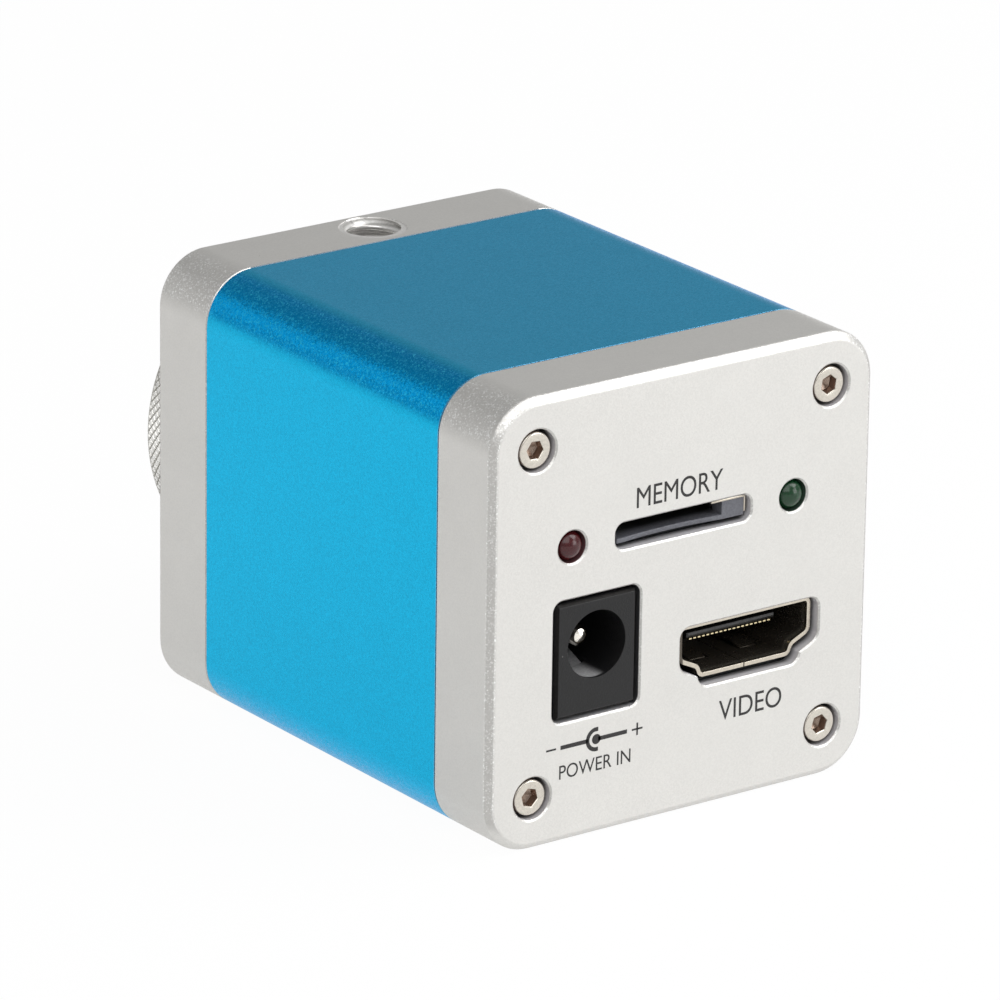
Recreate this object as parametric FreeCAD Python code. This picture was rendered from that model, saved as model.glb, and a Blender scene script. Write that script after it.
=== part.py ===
"""Microscope camera: a blue extruded sleeve between two milled end blocks.

Millimetres. The origin is the centre of the lens mount's flange face. +Y runs along the optical axis
out of the mount, +Z is up, and the sockets are in the rear panel, at -Y.
"""
import FreeCAD, Part
import os
from math import cos, radians, sin, tan

Vector = FreeCAD.Vector

# Body
body_width = 43.0
body_height = 43.0
corner_radius = 5.0
front_block_length = 8.0
sleeve_length = 36.75
rear_block_length = 8.25
wall = 2.0
panel_thickness = 1.5
panel_chamfer = 0.65
front_chamfer = 0.2

# Body screws, M2 socket head
screw_radius = 1.0
screw_length = 11.0
screw_head_radius = 1.7
screw_head_height = 2.0
screw_recess = 0.35
hex_width = 1.6
hex_depth = 1.0
counterbore_clearance = 0.35
boss_overlap = 0.2
hole_clearance = 0.05

# Lens mount: one inch thread, 17.526 mm from flange to image
flange_distance = 17.526
mount_thread_radius = 12.7
mount_thread_length = 5.0
baffle_step = 0.7
spigot_wall = 1.3
ring_shoulder = 2.05
ring_chamfer = 0.25
thread_clearance = 0.05
seat_gap = 0.05
spigot_end_gap = 0.2

# Tripod thread, quarter inch
tripod_radius = 3.175
tripod_floor = 1.45
tripod_chamfer = 0.1

# Infrared filter, glued into a recess in the front block
filter_size = 16.0
filter_thickness = 1.0
filter_ledge = 2.5
filter_lip = 0.5
filter_inset = 0.1

# Image sensor
die_width = 7.2
die_height = 5.4
die_thickness = 0.3
die_surface_height = 0.974
package_margin = 2.4
package_wall = 1.2
package_height = 1.3
window_inset = 0.6
window_thickness = 0.4
sensor_air = 0.2
gasket_width = 1.1
gasket_gap = 0.1

# Sensor board
sensor_board_size = 27.0
sensor_board_thickness = 1.2
sensor_screw_inset = 2.25
sensor_screw_radius = 0.8
sensor_screw_depth = 3.0
sensor_screw_head_radius = 1.5
sensor_screw_head_height = 0.9

# Boards and their guides
board_thickness = 1.6
board_side_gap = 0.2
board_end_gap = 0.2
guide_reach = 1.5
guide_thickness = 1.2
guide_clearance = 0.1
main_board_height = 11.9
main_board_front_gap = 2.8
card_board_front_gap = 6.3
board_air = 2.79

# Power jack
jack_inset = 11.94
jack_width = 9.0
jack_height = 11.0
jack_length = 14.4
jack_face_length = 3.5
jack_setback = 0.05
jack_clearance = 0.35
jack_edge = 0.3
jack_bore_radius = 3.2
jack_axis_height = 6.5
jack_back_wall = 3.5
jack_pin_radius = 1.0
jack_pin_recess = 2.3
jack_pin_taper = 0.45
jack_tail_radius = 0.6
jack_tail_reach = 3.0
jack_spring_width = 2.6
jack_spring_thickness = 0.3
jack_spring_rise = 0.5
jack_spring_crest = 2.4
jack_slot_side_gap = 0.2
cutout_radius = 1.0

# Video socket
video_inset = 13.65
video_opening_width = 14.3
video_opening_height = 4.55
video_side_height = 2.8
video_shoulder_width = 10.4
video_shoulder_height = 0.85
video_floor_width = 9.8
video_top_bend = 0.3
video_side_bend = 0.6
video_floor_bend = 0.35
video_shell_thickness = 0.42
video_depth = 11.0
video_setback = 0.8
video_standoff = 0.43
video_clearance = 0.36
video_cutout_drop = 0.25
video_seam = 0.08
video_back_wall = 2.0
tongue_setback = 2.1
tongue_width = 10.3
tongue_thickness = 0.7
tongue_drop = 1.25
tongue_fit = 0.05
contact_count = 19
contact_pitch = 0.5
contact_width = 0.3
contact_thickness = 0.15
contact_foot = 0.9
contact_front_gap = 0.15
finger_width = 1.8
finger_length = 4.5
finger_crest = 1.5
finger_bow = 0.45
finger_thickness = 0.3
finger_slot_gap = 0.25
finger_spread = 2.9
leg_width = 1.2
leg_reach = 0.8
leg_spread = 6.0

# Memory card socket
card_x = 0.0
card_socket_width = 14.7
card_socket_length = 15.0
card_socket_height = 1.9
card_setback = 0.55
card_cutout_width = 15.3
card_cutout_height = 2.6
card_cutout_drop = 0.14
card_sheet = 0.2
card_floor = 0.45
card_skirt_gap = 0.3
card_channel_width = 11.2
card_left_wall = 0.6
card_right_wall = 0.35
card_rear_wall = 0.8
card_post_length = 1.5
card_front_bow = 0.4
card_lead_in = 1.5
card_cover_lap = 1.2
slider_length = 4.6
slider_gap = 0.08
slider_rest_gap = 0.3
slider_hook = 0.8
slider_hook_length = 1.4
spring_wire_radius = 0.1
spring_turns = 5
spring_sides = 8
spring_side_gap = 0.12
card_contact_count = 8
card_contact_pitch = 1.1
card_contact_width = 0.6
card_contact_length = 6.5
card_contact_rise = 0.45
card_contact_sheet = 0.15
card_contact_nose = 0.6
card_contact_foot = 0.8

# Indicator lamps
lamp_inset = 9.05
lamp_height = 0.91
lamp_radius = 1.5
lamp_hole_clearance = 0.05
lamp_proud = 0.3
lamp_length = 5.3
lamp_notch_gap = 0.3
lead_width = 0.5
lead_pitch = 2.54
lead_run = 2.2
lead_bend = 0.7
lead_tail = 1.0
lead_hole_clearance = 0.1

# Parts on the boards
part_gap = 1.6
processor_size = 10.0
processor_height = 1.2
sink_base = 1.5
sink_height = 6.0
sink_fin_count = 5
sink_fin_thickness = 0.9
memory_width = 6.0
memory_length = 9.0
memory_height = 1.0
capacitor_count = 2
capacitor_inset = 4.7
capacitor_radius = 2.2
capacitor_height = 6.0
inductor_inset = 11.3
inductor_size = 6.0
inductor_height = 3.0
inductor_lip = 0.7
inductor_plate = 0.75
header_inset = 4.5
header_pitch = 2.0
header_rows = 2
header_columns = 6
header_strip = 2.0
header_pin_width = 0.5
header_pin_tail = 1.0
header_hole_clearance = 0.1
connector_width = 14.0
connector_depth = 4.0
connector_height = 1.6
ribbon_width = 11.0
ribbon_thickness = 0.3
ribbon_bend = 2.0
ribbon_straight = 0.8
ribbon_grip = 1.5
ribbon_slot_clearance = 0.05

# Stations along the optical axis, from the flange backwards
ring_reach = flange_distance + die_surface_height - front_block_length
front_y = -ring_reach
sleeve_front_y = front_y - front_block_length
sleeve_back_y = sleeve_front_y - sleeve_length
rear_y = sleeve_back_y - rear_block_length
panel_y = rear_y + panel_thickness

# Section of the body
half_width = body_width / 2
half_height = body_height / 2
inner_half_width = half_width - wall
inner_half_height = half_height - wall
inner_radius = corner_radius - wall
boss_radius = inner_radius + boss_overlap
screw_spots = [
    (side * (half_width - corner_radius), level * (half_height - corner_radius))
    for side in (-1, 1)
    for level in (-1, 1)
]
screw_hole_radius = screw_radius + hole_clearance
counterbore_radius = screw_head_radius + counterbore_clearance
counterbore_depth = screw_head_height + screw_recess

# Lens side, from the sensor board forwards
spigot_radius = mount_thread_radius + spigot_wall
ring_radius = spigot_radius + ring_shoulder
socket_radius = spigot_radius + thread_clearance
pocket_depth = package_height + window_thickness + sensor_air
filter_seat_y = sleeve_front_y + pocket_depth + filter_lip
socket_floor_y = filter_seat_y + filter_thickness + filter_inset
package_size = die_width + 2 * package_margin
pocket_half = package_size / 2 + gasket_width + 2 * gasket_gap
sensor_board_back_y = sleeve_front_y - sensor_board_thickness
sensor_screw_offset = sensor_board_size / 2 - sensor_screw_inset
sensor_screw_spots = [(side * sensor_screw_offset, side * sensor_screw_offset) for side in (-1, 1)]

# Boards
main_board_top = main_board_height - half_height
main_board_bottom = main_board_top - board_thickness
card_board_bottom = main_board_top + jack_height + board_air
card_board_top = card_board_bottom + board_thickness
board_half = inner_half_width - board_side_gap
board_rear_y = panel_y + board_end_gap
main_board_front_y = sensor_board_back_y - main_board_front_gap
card_board_front_y = sensor_board_back_y - card_board_front_gap

# Power jack
jack_x = jack_inset - half_width
jack_y = rear_y + jack_setback
jack_back_y = jack_y + jack_length
jack_axis_z = main_board_top + jack_axis_height
jack_bore_back_y = jack_back_y - jack_back_wall
jack_tail_y = jack_back_y - jack_back_wall / 2
jack_spring_y = jack_y + jack_face_length

# Video socket
video_x = half_width - video_inset
video_y = rear_y + video_setback
video_back_y = video_y + video_depth
video_opening_bottom = main_board_top + video_standoff + video_shell_thickness
video_opening_top = video_opening_bottom + video_opening_height
tongue_y = video_y + tongue_setback
tongue_top = video_opening_top - tongue_drop
tongue_bottom = tongue_top - tongue_thickness
contact_xs = [video_x + (i - (contact_count - 1) / 2) * contact_pitch for i in range(contact_count)]
leg_ys = [video_y + video_depth / 2 + end * leg_spread / 2 for end in (-1, 1)]

# Memory card socket
card_y = rear_y + card_setback
card_back_y = card_y + card_socket_length
card_half = card_socket_width / 2
card_base_half = card_half - card_sheet
card_top = card_board_top + card_socket_height
card_roof = card_top - card_sheet
card_floor_top = card_board_top + card_floor
card_left_x = card_x - card_base_half + card_left_wall
card_right_x = card_left_x + card_channel_width
card_side_x = card_x + card_base_half - card_right_wall
slider_x = card_right_x + slider_gap
slider_y = card_y + card_post_length + slider_rest_gap
slider_back_y = slider_y + slider_length
card_rear_wall_y = card_back_y - card_rear_wall
spring_radius = min((card_side_x - slider_x) / 2, (card_roof - card_floor_top) / 2) - spring_side_gap
card_contact_y = card_rear_wall_y - card_contact_length
card_contact_xs = [
    (card_left_x + card_right_x) / 2 + (i - (card_contact_count - 1) / 2) * card_contact_pitch
    for i in range(card_contact_count)
]

# Indicator lamps
lamp_spread = half_width - lamp_inset
lamp_z = card_board_top + lamp_height
lamp_tip_y = rear_y - lamp_proud
lamp_back_y = lamp_tip_y + lamp_length
lamp_notch_y = lamp_back_y + lamp_notch_gap
lamp_notch_half = lamp_radius + lamp_notch_gap
lead_y = lamp_back_y + lead_run
lead_hole_half = lead_width / 2 + lead_hole_clearance

# Parts on the boards, placed inwards from the boards' sides and forwards from the sockets
header_x = header_inset - board_half
capacitor_x = board_half - capacitor_inset
memory_x = capacitor_x - capacitor_radius - part_gap - memory_width / 2
processor_x = memory_x - memory_width / 2 - part_gap - processor_size / 2
inductor_x = board_half - inductor_inset
processor_y = jack_back_y + part_gap
header_y = jack_back_y + part_gap
inductor_y = card_back_y + card_contact_foot + part_gap
header_spots = [
    (header_x + (row - (header_rows - 1) / 2) * header_pitch, header_y + (column + 0.5) * header_pitch)
    for row in range(header_rows)
    for column in range(header_columns)
]
main_connector_y = main_board_front_y - ribbon_straight
ribbon_z = main_board_top + connector_height / 2
ribbon_y = sensor_board_back_y - connector_height / 2
sensor_connector_z = ribbon_z + ribbon_bend + ribbon_straight


# Drawing aids

def at_x(x):
    return lambda y, z: Vector(x, y, z)


def at_y(y):
    return lambda x, z: Vector(x, y, z)


def at_z(z):
    return lambda x, y: Vector(x, y, z)


def outline(corners, place):
    """Closed wire through (a, b, radius) corners; place puts a point (a, b) in space."""
    turns = []
    for i, (a, b, radius) in enumerate(corners):
        corner = place(a, b)
        before = place(*corners[i - 1][:2])
        after = place(*corners[(i + 1) % len(corners)][:2])
        if radius == 0:
            turns.append((corner, None, corner))
            continue
        back = (before - corner).normalize()
        ahead = (after - corner).normalize()
        half = back.getAngle(ahead) / 2
        middle = (back + ahead).normalize()
        reach = radius / tan(half)
        inset = radius / sin(half) - radius
        turns.append((corner + back * reach, corner + middle * inset, corner + ahead * reach))
    edges = []
    for i, (start, middle, stop) in enumerate(turns):
        if middle:
            edges.append(Part.Arc(start, middle, stop).toShape())
        following = turns[(i + 1) % len(turns)][0]
        edges.append(Part.makeLine(stop, following))
    return Part.Wire(edges)


def grown(corners, amount):
    """Corners of an outline, listed anticlockwise, moved outwards by amount with its bends kept parallel."""
    moved = []
    for i, (a, b, radius) in enumerate(corners):
        before = corners[i - 1]
        after = corners[(i + 1) % len(corners)]
        arriving = Vector(a - before[0], b - before[1], 0).normalize()
        leaving = Vector(after[0] - a, after[1] - b, 0).normalize()
        sideways = Vector(arriving.y + leaving.y, -arriving.x - leaving.x, 0)
        shift = sideways * (amount / (1 + arriving.dot(leaving)))
        turn = arriving.cross(leaving).z
        moved.append((a + shift.x, b + shift.y, radius + amount if turn > 0 else radius - amount))
    return moved


def prism(wire, travel):
    return Part.Face(wire).extrude(travel)


def rectangle(x, z, width, height, radius):
    """Corners of a rounded rectangle about (x, z)."""
    return [
        (x - width / 2, z - height / 2, radius),
        (x + width / 2, z - height / 2, radius),
        (x + width / 2, z + height / 2, radius),
        (x - width / 2, z + height / 2, radius),
    ]


def bar(x, z, width, height, radius, start_y, end_y):
    """Rounded rectangle about (x, z), drawn out from start_y to end_y."""
    corners = rectangle(x, z, width, height, radius)
    return prism(outline(corners, at_y(start_y)), Vector(0, end_y - start_y, 0))


def block(x0, x1, y0, y1, z0, z1):
    return Part.makeBox(x1 - x0, y1 - y0, z1 - z0, Vector(x0, y0, z0))


def rod_y(radius, start_y, end_y, x=0.0, z=0.0):
    return Part.makeCylinder(radius, end_y - start_y, Vector(x, start_y, z), Vector(0, 1, 0))


def rod_z(radius, start_z, end_z, x, y):
    return Part.makeCylinder(radius, end_z - start_z, Vector(x, y, start_z), Vector(0, 0, 1))


def turned(profile, x=0.0, z=0.0):
    """Solid turned about a line along Y through (x, z), from (radius, y) points."""
    points = [Vector(x + radius, y, z) for radius, y in profile]
    face = Part.Face(Part.makePolygon(points + points[:1]))
    return face.revolve(Vector(x, 0, z), Vector(0, 1, 0), 360)


def side_strip(corners, x, width):
    """Bent strip: a side outline of (y, z, radius) corners, width wide about x."""
    return prism(outline(corners, at_x(x - width / 2)), Vector(width, 0, 0))


def edges_at(shape, y):
    """Edges of a shape that lie in the plane at y."""
    return [
        edge for edge in shape.Edges
        if abs(edge.BoundBox.YMin - y) < 1e-6 and abs(edge.BoundBox.YMax - y) < 1e-6
    ]


def cut_all(shape, tools):
    return shape.cut(Part.makeCompound(tools))


def join(shapes):
    return shapes[0].multiFuse(shapes[1:]).removeSplitter()


# Body

def body_bar(start_y, end_y):
    return bar(0, 0, body_width, body_height, corner_radius, start_y, end_y)


def body_screw_hole(x, z, start_y, end_y, mouth_y):
    """Counterbored hole from start_y to end_y, its counterbore at mouth_y."""
    inward = counterbore_depth if mouth_y == start_y else -counterbore_depth
    low, high = sorted((mouth_y, mouth_y + inward))
    return [
        rod_y(screw_hole_radius, start_y, end_y, x, z),
        rod_y(counterbore_radius, low, high, x, z),
    ]


def make_front_block():
    body = body_bar(sleeve_front_y, front_y)
    body = body.makeChamfer(front_chamfer, edges_at(body, front_y))
    tripod_y = (front_y + sleeve_front_y) / 2
    recess = filter_size + 2 * hole_clearance
    aperture = filter_size - 2 * filter_ledge
    tools = [
        rod_y(socket_radius, socket_floor_y, front_y),
        bar(0, 0, recess, recess, cutout_radius, filter_seat_y, socket_floor_y),
        bar(0, 0, aperture, aperture, cutout_radius, sleeve_front_y, filter_seat_y),
        bar(0, 0, 2 * pocket_half, 2 * pocket_half, cutout_radius,
            sleeve_front_y, sleeve_front_y + pocket_depth),
        rod_z(tripod_radius, socket_radius + tripod_floor, half_height, 0, tripod_y),
        Part.makeCone(tripod_radius, tripod_radius + tripod_chamfer, tripod_chamfer,
                      Vector(0, tripod_y, half_height - tripod_chamfer), Vector(0, 0, 1)),
    ]
    for x, z in screw_spots:
        tools += body_screw_hole(x, z, sleeve_front_y, front_y, front_y)
    for x, z in sensor_screw_spots:
        depth_y = sleeve_front_y + sensor_screw_depth + hole_clearance
        tools.append(rod_y(sensor_screw_radius + hole_clearance, sleeve_front_y, depth_y, x, z))
    return cut_all(body, tools)


def make_body_sleeve():
    """Extrusion with a screw port in each corner and a pair of guides for each board."""
    shell = body_bar(sleeve_back_y, sleeve_front_y).cut(
        bar(0, 0, 2 * inner_half_width, 2 * inner_half_height, inner_radius, sleeve_back_y, sleeve_front_y))
    pieces = [shell]
    for x, z in screw_spots:
        pieces.append(rod_y(boss_radius, sleeve_back_y, sleeve_front_y, x, z))
    guide_x = inner_half_width - guide_reach
    root_x = half_width - wall / 2
    for bottom, top in ((main_board_bottom, main_board_top), (card_board_bottom, card_board_top)):
        for low in (top + guide_clearance, bottom - guide_clearance - guide_thickness):
            high = low + guide_thickness
            pieces.append(block(guide_x, root_x, sleeve_back_y, sleeve_front_y, low, high))
            pieces.append(block(-root_x, -guide_x, sleeve_back_y, sleeve_front_y, low, high))
    ports = [rod_y(screw_hole_radius, sleeve_back_y, sleeve_front_y, x, z) for x, z in screw_spots]
    return cut_all(join(pieces), ports)


def make_rear_block():
    """Milled block: corner screw bosses and a thin panel with a cut-out for each socket and lamp."""
    body = body_bar(rear_y, sleeve_back_y)
    body = body.makeChamfer(panel_chamfer, edges_at(body, rear_y))
    pocket = bar(0, 0, 2 * inner_half_width, 2 * inner_half_height, inner_radius, panel_y, sleeve_back_y)
    bosses = [rod_y(boss_radius, panel_y, sleeve_back_y, x, z) for x, z in screw_spots]
    tools = [cut_all(pocket, bosses)]
    for x, z in screw_spots:
        tools += body_screw_hole(x, z, rear_y, sleeve_back_y, rear_y)
    jack_z = main_board_top + jack_height / 2
    tools.append(bar(jack_x, jack_z, jack_width + 2 * jack_clearance, jack_height + 2 * jack_clearance,
                     cutout_radius, rear_y, panel_y))
    video_hole = video_outline(video_shell_thickness + video_clearance, rear_y)
    video_cutout = prism(video_hole, Vector(0, panel_thickness, 0))
    video_cutout.translate(Vector(0, 0, -video_cutout_drop))
    tools.append(video_cutout)
    card_z = card_board_top + card_socket_height / 2 - card_cutout_drop
    tools.append(bar(card_x, card_z, card_cutout_width, card_cutout_height, cutout_radius, rear_y, panel_y))
    for side in (-1, 1):
        tools.append(rod_y(lamp_radius + lamp_hole_clearance, rear_y, panel_y, side * lamp_spread, lamp_z))
    return cut_all(body, tools)


def socket_screw(x, z, mouth_y, inward):
    """Socket head screw in a counterbore that opens at mouth_y; inward is +1 or -1 along Y."""
    def station(depth):
        return mouth_y + inward * depth

    top = screw_recess
    seat = counterbore_depth
    screw = turned([
        (0, station(top)),
        (screw_head_radius, station(top)),
        (screw_head_radius, station(seat)),
        (screw_radius, station(seat)),
        (screw_radius, station(seat + screw_length)),
        (0, station(seat + screw_length)),
    ], x, z)
    corner = hex_width / 2 / sin(radians(60))
    hexagon = [Vector(corner, 0, 0)]
    for turn in range(60, 360, 60):
        point = Vector(corner, 0, 0)
        hexagon.append(FreeCAD.Rotation(Vector(0, 1, 0), turn).multVec(point))
    wire = Part.makePolygon(hexagon + hexagon[:1])
    wire.translate(Vector(x, station(top), z))
    return screw.cut(prism(wire, Vector(0, inward * hex_depth, 0)))


def make_rear_screws():
    return Part.makeCompound([socket_screw(x, z, rear_y, 1) for x, z in screw_spots])


def make_front_screws():
    return Part.makeCompound([socket_screw(x, z, front_y, -1) for x, z in screw_spots])


# Lens mount

def make_mount_ring():
    """Lens ring: threaded mouth, light baffle behind it, and the spigot that screws into the block."""
    shoulder_y = front_y + seat_gap
    end_y = socket_floor_y + spigot_end_gap
    baffle_radius = mount_thread_radius - baffle_step
    return turned([
        (mount_thread_radius, 0),
        (ring_radius - ring_chamfer, 0),
        (ring_radius, -ring_chamfer),
        (ring_radius, shoulder_y),
        (spigot_radius, shoulder_y),
        (spigot_radius, end_y),
        (baffle_radius, end_y),
        (baffle_radius, -mount_thread_length),
        (mount_thread_radius, -mount_thread_length),
    ])


def make_filter_glass():
    return bar(0, 0, filter_size, filter_size, cutout_radius, filter_seat_y, filter_seat_y + filter_thickness)


# Image sensor

def make_image_sensor():
    """Open ceramic package with a cavity for the die."""
    top_y = sleeve_front_y + package_height
    floor_y = sleeve_front_y + die_surface_height - die_thickness
    cavity = package_size - 2 * package_wall
    package = bar(0, 0, package_size, package_size, 0, sleeve_front_y, top_y)
    return package.cut(bar(0, 0, cavity, cavity, 0, floor_y, top_y))


def make_sensor_die():
    surface_y = sleeve_front_y + die_surface_height
    return bar(0, 0, die_width, die_height, 0, surface_y - die_thickness, surface_y)


def make_sensor_window():
    size = package_size - 2 * window_inset
    base_y = sleeve_front_y + package_height
    return bar(0, 0, size, size, 0, base_y, base_y + window_thickness)


def make_sensor_gasket():
    inner = package_size + 2 * gasket_gap
    outer = inner + 2 * gasket_width
    end_y = sleeve_front_y + package_height
    frame = bar(0, 0, outer, outer, gasket_width, sleeve_front_y, end_y)
    return frame.cut(bar(0, 0, inner, inner, 0, sleeve_front_y, end_y))


def make_sensor_board():
    board = bar(0, 0, sensor_board_size, sensor_board_size, 0, sensor_board_back_y, sleeve_front_y)
    holes = [
        rod_y(sensor_screw_radius + hole_clearance, sensor_board_back_y, sleeve_front_y, x, z)
        for x, z in sensor_screw_spots
    ]
    return cut_all(board, holes)


def make_sensor_screws():
    screws = []
    head_y = sensor_board_back_y - sensor_screw_head_height
    for x, z in sensor_screw_spots:
        screws.append(turned([
            (0, head_y),
            (sensor_screw_head_radius, head_y),
            (sensor_screw_head_radius, sensor_board_back_y),
            (sensor_screw_radius, sensor_board_back_y),
            (sensor_screw_radius, sleeve_front_y + sensor_screw_depth),
            (0, sleeve_front_y + sensor_screw_depth),
        ], x, z))
    return Part.makeCompound(screws)


# Boards

def header_posts(half, low, high):
    """Square post at each header pin, half its width either way."""
    return [block(x - half, x + half, y - half, y + half, low, high) for x, y in header_spots]


def header_holes(low, high):
    return header_posts(header_pin_width / 2 + header_hole_clearance, low, high)


def make_main_board():
    board = block(-board_half, board_half, board_rear_y, main_board_front_y,
                  main_board_bottom, main_board_top)
    tools = header_holes(main_board_bottom, main_board_top)
    hole_radius = jack_tail_radius + hole_clearance
    tools.append(rod_z(hole_radius, main_board_bottom, main_board_top, jack_x, jack_tail_y))
    for x0, x1, y0, y1 in video_legs(hole_clearance):
        tools.append(block(x0, x1, y0, y1, main_board_bottom, main_board_top))
    return cut_all(board, tools)


def make_card_board():
    """Upper board, notched at the rear round the two lamps."""
    board = block(-board_half, board_half, board_rear_y, card_board_front_y,
                  card_board_bottom, card_board_top)
    tools = header_holes(card_board_bottom, card_board_top)
    for side in (-1, 1):
        x = side * lamp_spread
        notch = rectangle(x, (board_rear_y + lamp_notch_y) / 2, 2 * lamp_notch_half,
                          lamp_notch_y - board_rear_y, 0)
        tools.append(prism(outline(notch, at_z(card_board_bottom)), Vector(0, 0, board_thickness)))
        for lead_x in (x - lead_pitch / 2, x + lead_pitch / 2):
            tools.append(block(lead_x - lead_hole_half, lead_x + lead_hole_half, lead_y - lead_hole_half,
                               lead_y + lead_hole_half, card_board_bottom, card_board_top))
    return cut_all(board, tools)


# Power jack

def make_dc_jack_housing():
    """Moulded jack: square face, round-topped body, bore with a slot below for the spring."""
    face = bar(jack_x, main_board_top + jack_height / 2, jack_width, jack_height, 0,
               jack_y, jack_y + jack_face_length)
    face = face.makeChamfer(jack_edge, edges_at(face, jack_y))
    crown = jack_width / 2 - jack_edge
    base = block(jack_x - jack_width / 2, jack_x + jack_width / 2, jack_y + jack_face_length, jack_back_y,
                 main_board_top, jack_axis_z)
    barrel = rod_y(crown, jack_y + jack_face_length, jack_back_y, jack_x, jack_axis_z)
    housing = join([face, base, barrel])
    half_slot = jack_spring_width / 2 + jack_slot_side_gap
    tools = [
        rod_y(jack_bore_radius, jack_y, jack_bore_back_y, jack_x, jack_axis_z),
        block(jack_x - half_slot, jack_x + half_slot, jack_spring_y, jack_bore_back_y,
              main_board_top, jack_axis_z),
        rod_y(jack_pin_radius, jack_bore_back_y, jack_tail_y, jack_x, jack_axis_z),
        rod_z(jack_tail_radius, main_board_top, jack_axis_z, jack_x, jack_tail_y),
    ]
    return cut_all(housing, tools)


def make_dc_jack_pin():
    """Centre pin with a tapered nose, whose tail drops through the board."""
    nose_y = jack_y + jack_pin_recess
    pin = turned([
        (0, nose_y),
        (jack_pin_radius - jack_pin_taper, nose_y),
        (jack_pin_radius, nose_y + jack_pin_taper),
        (jack_pin_radius, jack_tail_y),
        (0, jack_tail_y),
    ], jack_x, jack_axis_z)
    tail = rod_z(jack_tail_radius, main_board_top - jack_tail_reach, jack_axis_z, jack_x, jack_tail_y)
    return join([pin, tail])


def make_dc_jack_spring():
    """Leaf that presses up on a plug's sleeve from the slot under the bore."""
    bore_floor = jack_axis_z - jack_bore_radius
    back_y = jack_bore_back_y - jack_slot_side_gap
    front_y_leaf = jack_spring_y + jack_slot_side_gap
    crest_y = front_y_leaf + jack_spring_crest
    crest = bore_floor + jack_spring_rise
    low = bore_floor - jack_spring_rise
    sheet = jack_spring_thickness
    return side_strip([
        (front_y_leaf, low, 0),
        (crest_y, crest, jack_spring_rise),
        (back_y - sheet, low, jack_spring_rise),
        (back_y - sheet, main_board_top, 0),
        (back_y, main_board_top, 0),
        (back_y, low + sheet, jack_spring_rise),
        (crest_y, crest + sheet, jack_spring_rise),
        (front_y_leaf, low + sheet, 0),
    ], jack_x, jack_spring_width)


# Video socket

def video_outline(grow, y):
    """Opening's outline, wide above and stepped in below, moved outwards by grow."""
    half = video_opening_width / 2
    half_shoulder = video_shoulder_width / 2
    half_floor = video_floor_width / 2
    knee = video_opening_top - video_side_height
    shoulder = video_opening_bottom + video_shoulder_height
    corners = [
        (video_x - half_floor, video_opening_bottom, video_floor_bend),
        (video_x + half_floor, video_opening_bottom, video_floor_bend),
        (video_x + half_shoulder, shoulder, video_shell_thickness + video_side_bend),
        (video_x + half, knee, video_side_bend),
        (video_x + half, video_opening_top, video_top_bend),
        (video_x - half, video_opening_top, video_top_bend),
        (video_x - half, knee, video_side_bend),
        (video_x - half_shoulder, shoulder, video_shell_thickness + video_side_bend),
    ]
    return outline(grown(corners, grow), at_y(y))


def video_legs(clearance):
    """Footprints (x0, x1, y0, y1) of the shell's four board legs."""
    inner = video_opening_width / 2
    outer = inner + video_shell_thickness
    prints = []
    for y in leg_ys:
        y0 = y - leg_width / 2 - clearance
        y1 = y + leg_width / 2 + clearance
        prints.append((video_x - outer - clearance, video_x - inner + clearance, y0, y1))
        prints.append((video_x + inner - clearance, video_x + outer + clearance, y0, y1))
    return prints


def video_finger(x, wall_z, inward):
    """Spring finger of the shell at x: its slot and its bowed strip; inward is +1 upwards, -1 downwards."""
    root_y = video_y + video_depth / 2 + finger_length / 2
    tip_y = root_y - finger_length
    half = finger_width / 2
    low, high = sorted((wall_z, wall_z - inward * video_shell_thickness))
    slot = block(x - half - finger_slot_gap, x + half + finger_slot_gap,
                 tip_y - finger_slot_gap, root_y, low, high)
    outside = wall_z - inward * finger_thickness
    strip = side_strip([
        (root_y, wall_z, 0),
        (tip_y + finger_crest, wall_z + inward * finger_bow, 0),
        (tip_y, wall_z, 0),
        (tip_y, outside, 0),
        (tip_y + finger_crest, outside + inward * finger_bow, 0),
        (root_y, outside, 0),
    ], x, finger_width)
    return slot, strip


def make_video_socket_shell():
    """Folded sheet: seam below, two spring fingers above and two below, four board legs."""
    travel = Vector(0, video_depth, 0)
    shell = prism(video_outline(video_shell_thickness, video_y), travel)
    shell = shell.cut(prism(video_outline(0, video_y), travel))
    seam = block(video_x - video_seam / 2, video_x + video_seam / 2, video_y, video_back_y,
                 video_opening_bottom - video_shell_thickness, video_opening_bottom)
    tools = [seam]
    pieces = []
    for side in (-1, 1):
        x = video_x + side * finger_spread
        for wall_z, inward in ((video_opening_bottom, 1), (video_opening_top, -1)):
            slot, strip = video_finger(x, wall_z, inward)
            tools.append(slot)
            pieces.append(strip)
    knee = video_opening_top - video_side_height
    for x0, x1, y0, y1 in video_legs(0):
        pieces.append(block(x0, x1, y0, y1, main_board_bottom - leg_reach, knee + video_side_bend))
    return join([cut_all(shell, tools)] + pieces)


def make_video_socket_tongue():
    """Insulator: the tongue that carries the contacts, and the wall that closes the shell's back."""
    back_wall_y = video_back_y - video_back_wall
    back = prism(video_outline(-tongue_fit, back_wall_y), Vector(0, video_back_wall, 0))
    tongue = block(video_x - tongue_width / 2, video_x + tongue_width / 2, tongue_y, back_wall_y,
                   tongue_bottom, tongue_top)
    body = join([back, tongue])
    half = contact_width / 2 + tongue_fit
    slots = [
        block(x - half, x + half, back_wall_y, video_back_y,
              tongue_bottom - contact_thickness - tongue_fit, tongue_bottom)
        for x in contact_xs
    ]
    return cut_all(body, slots)


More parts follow.
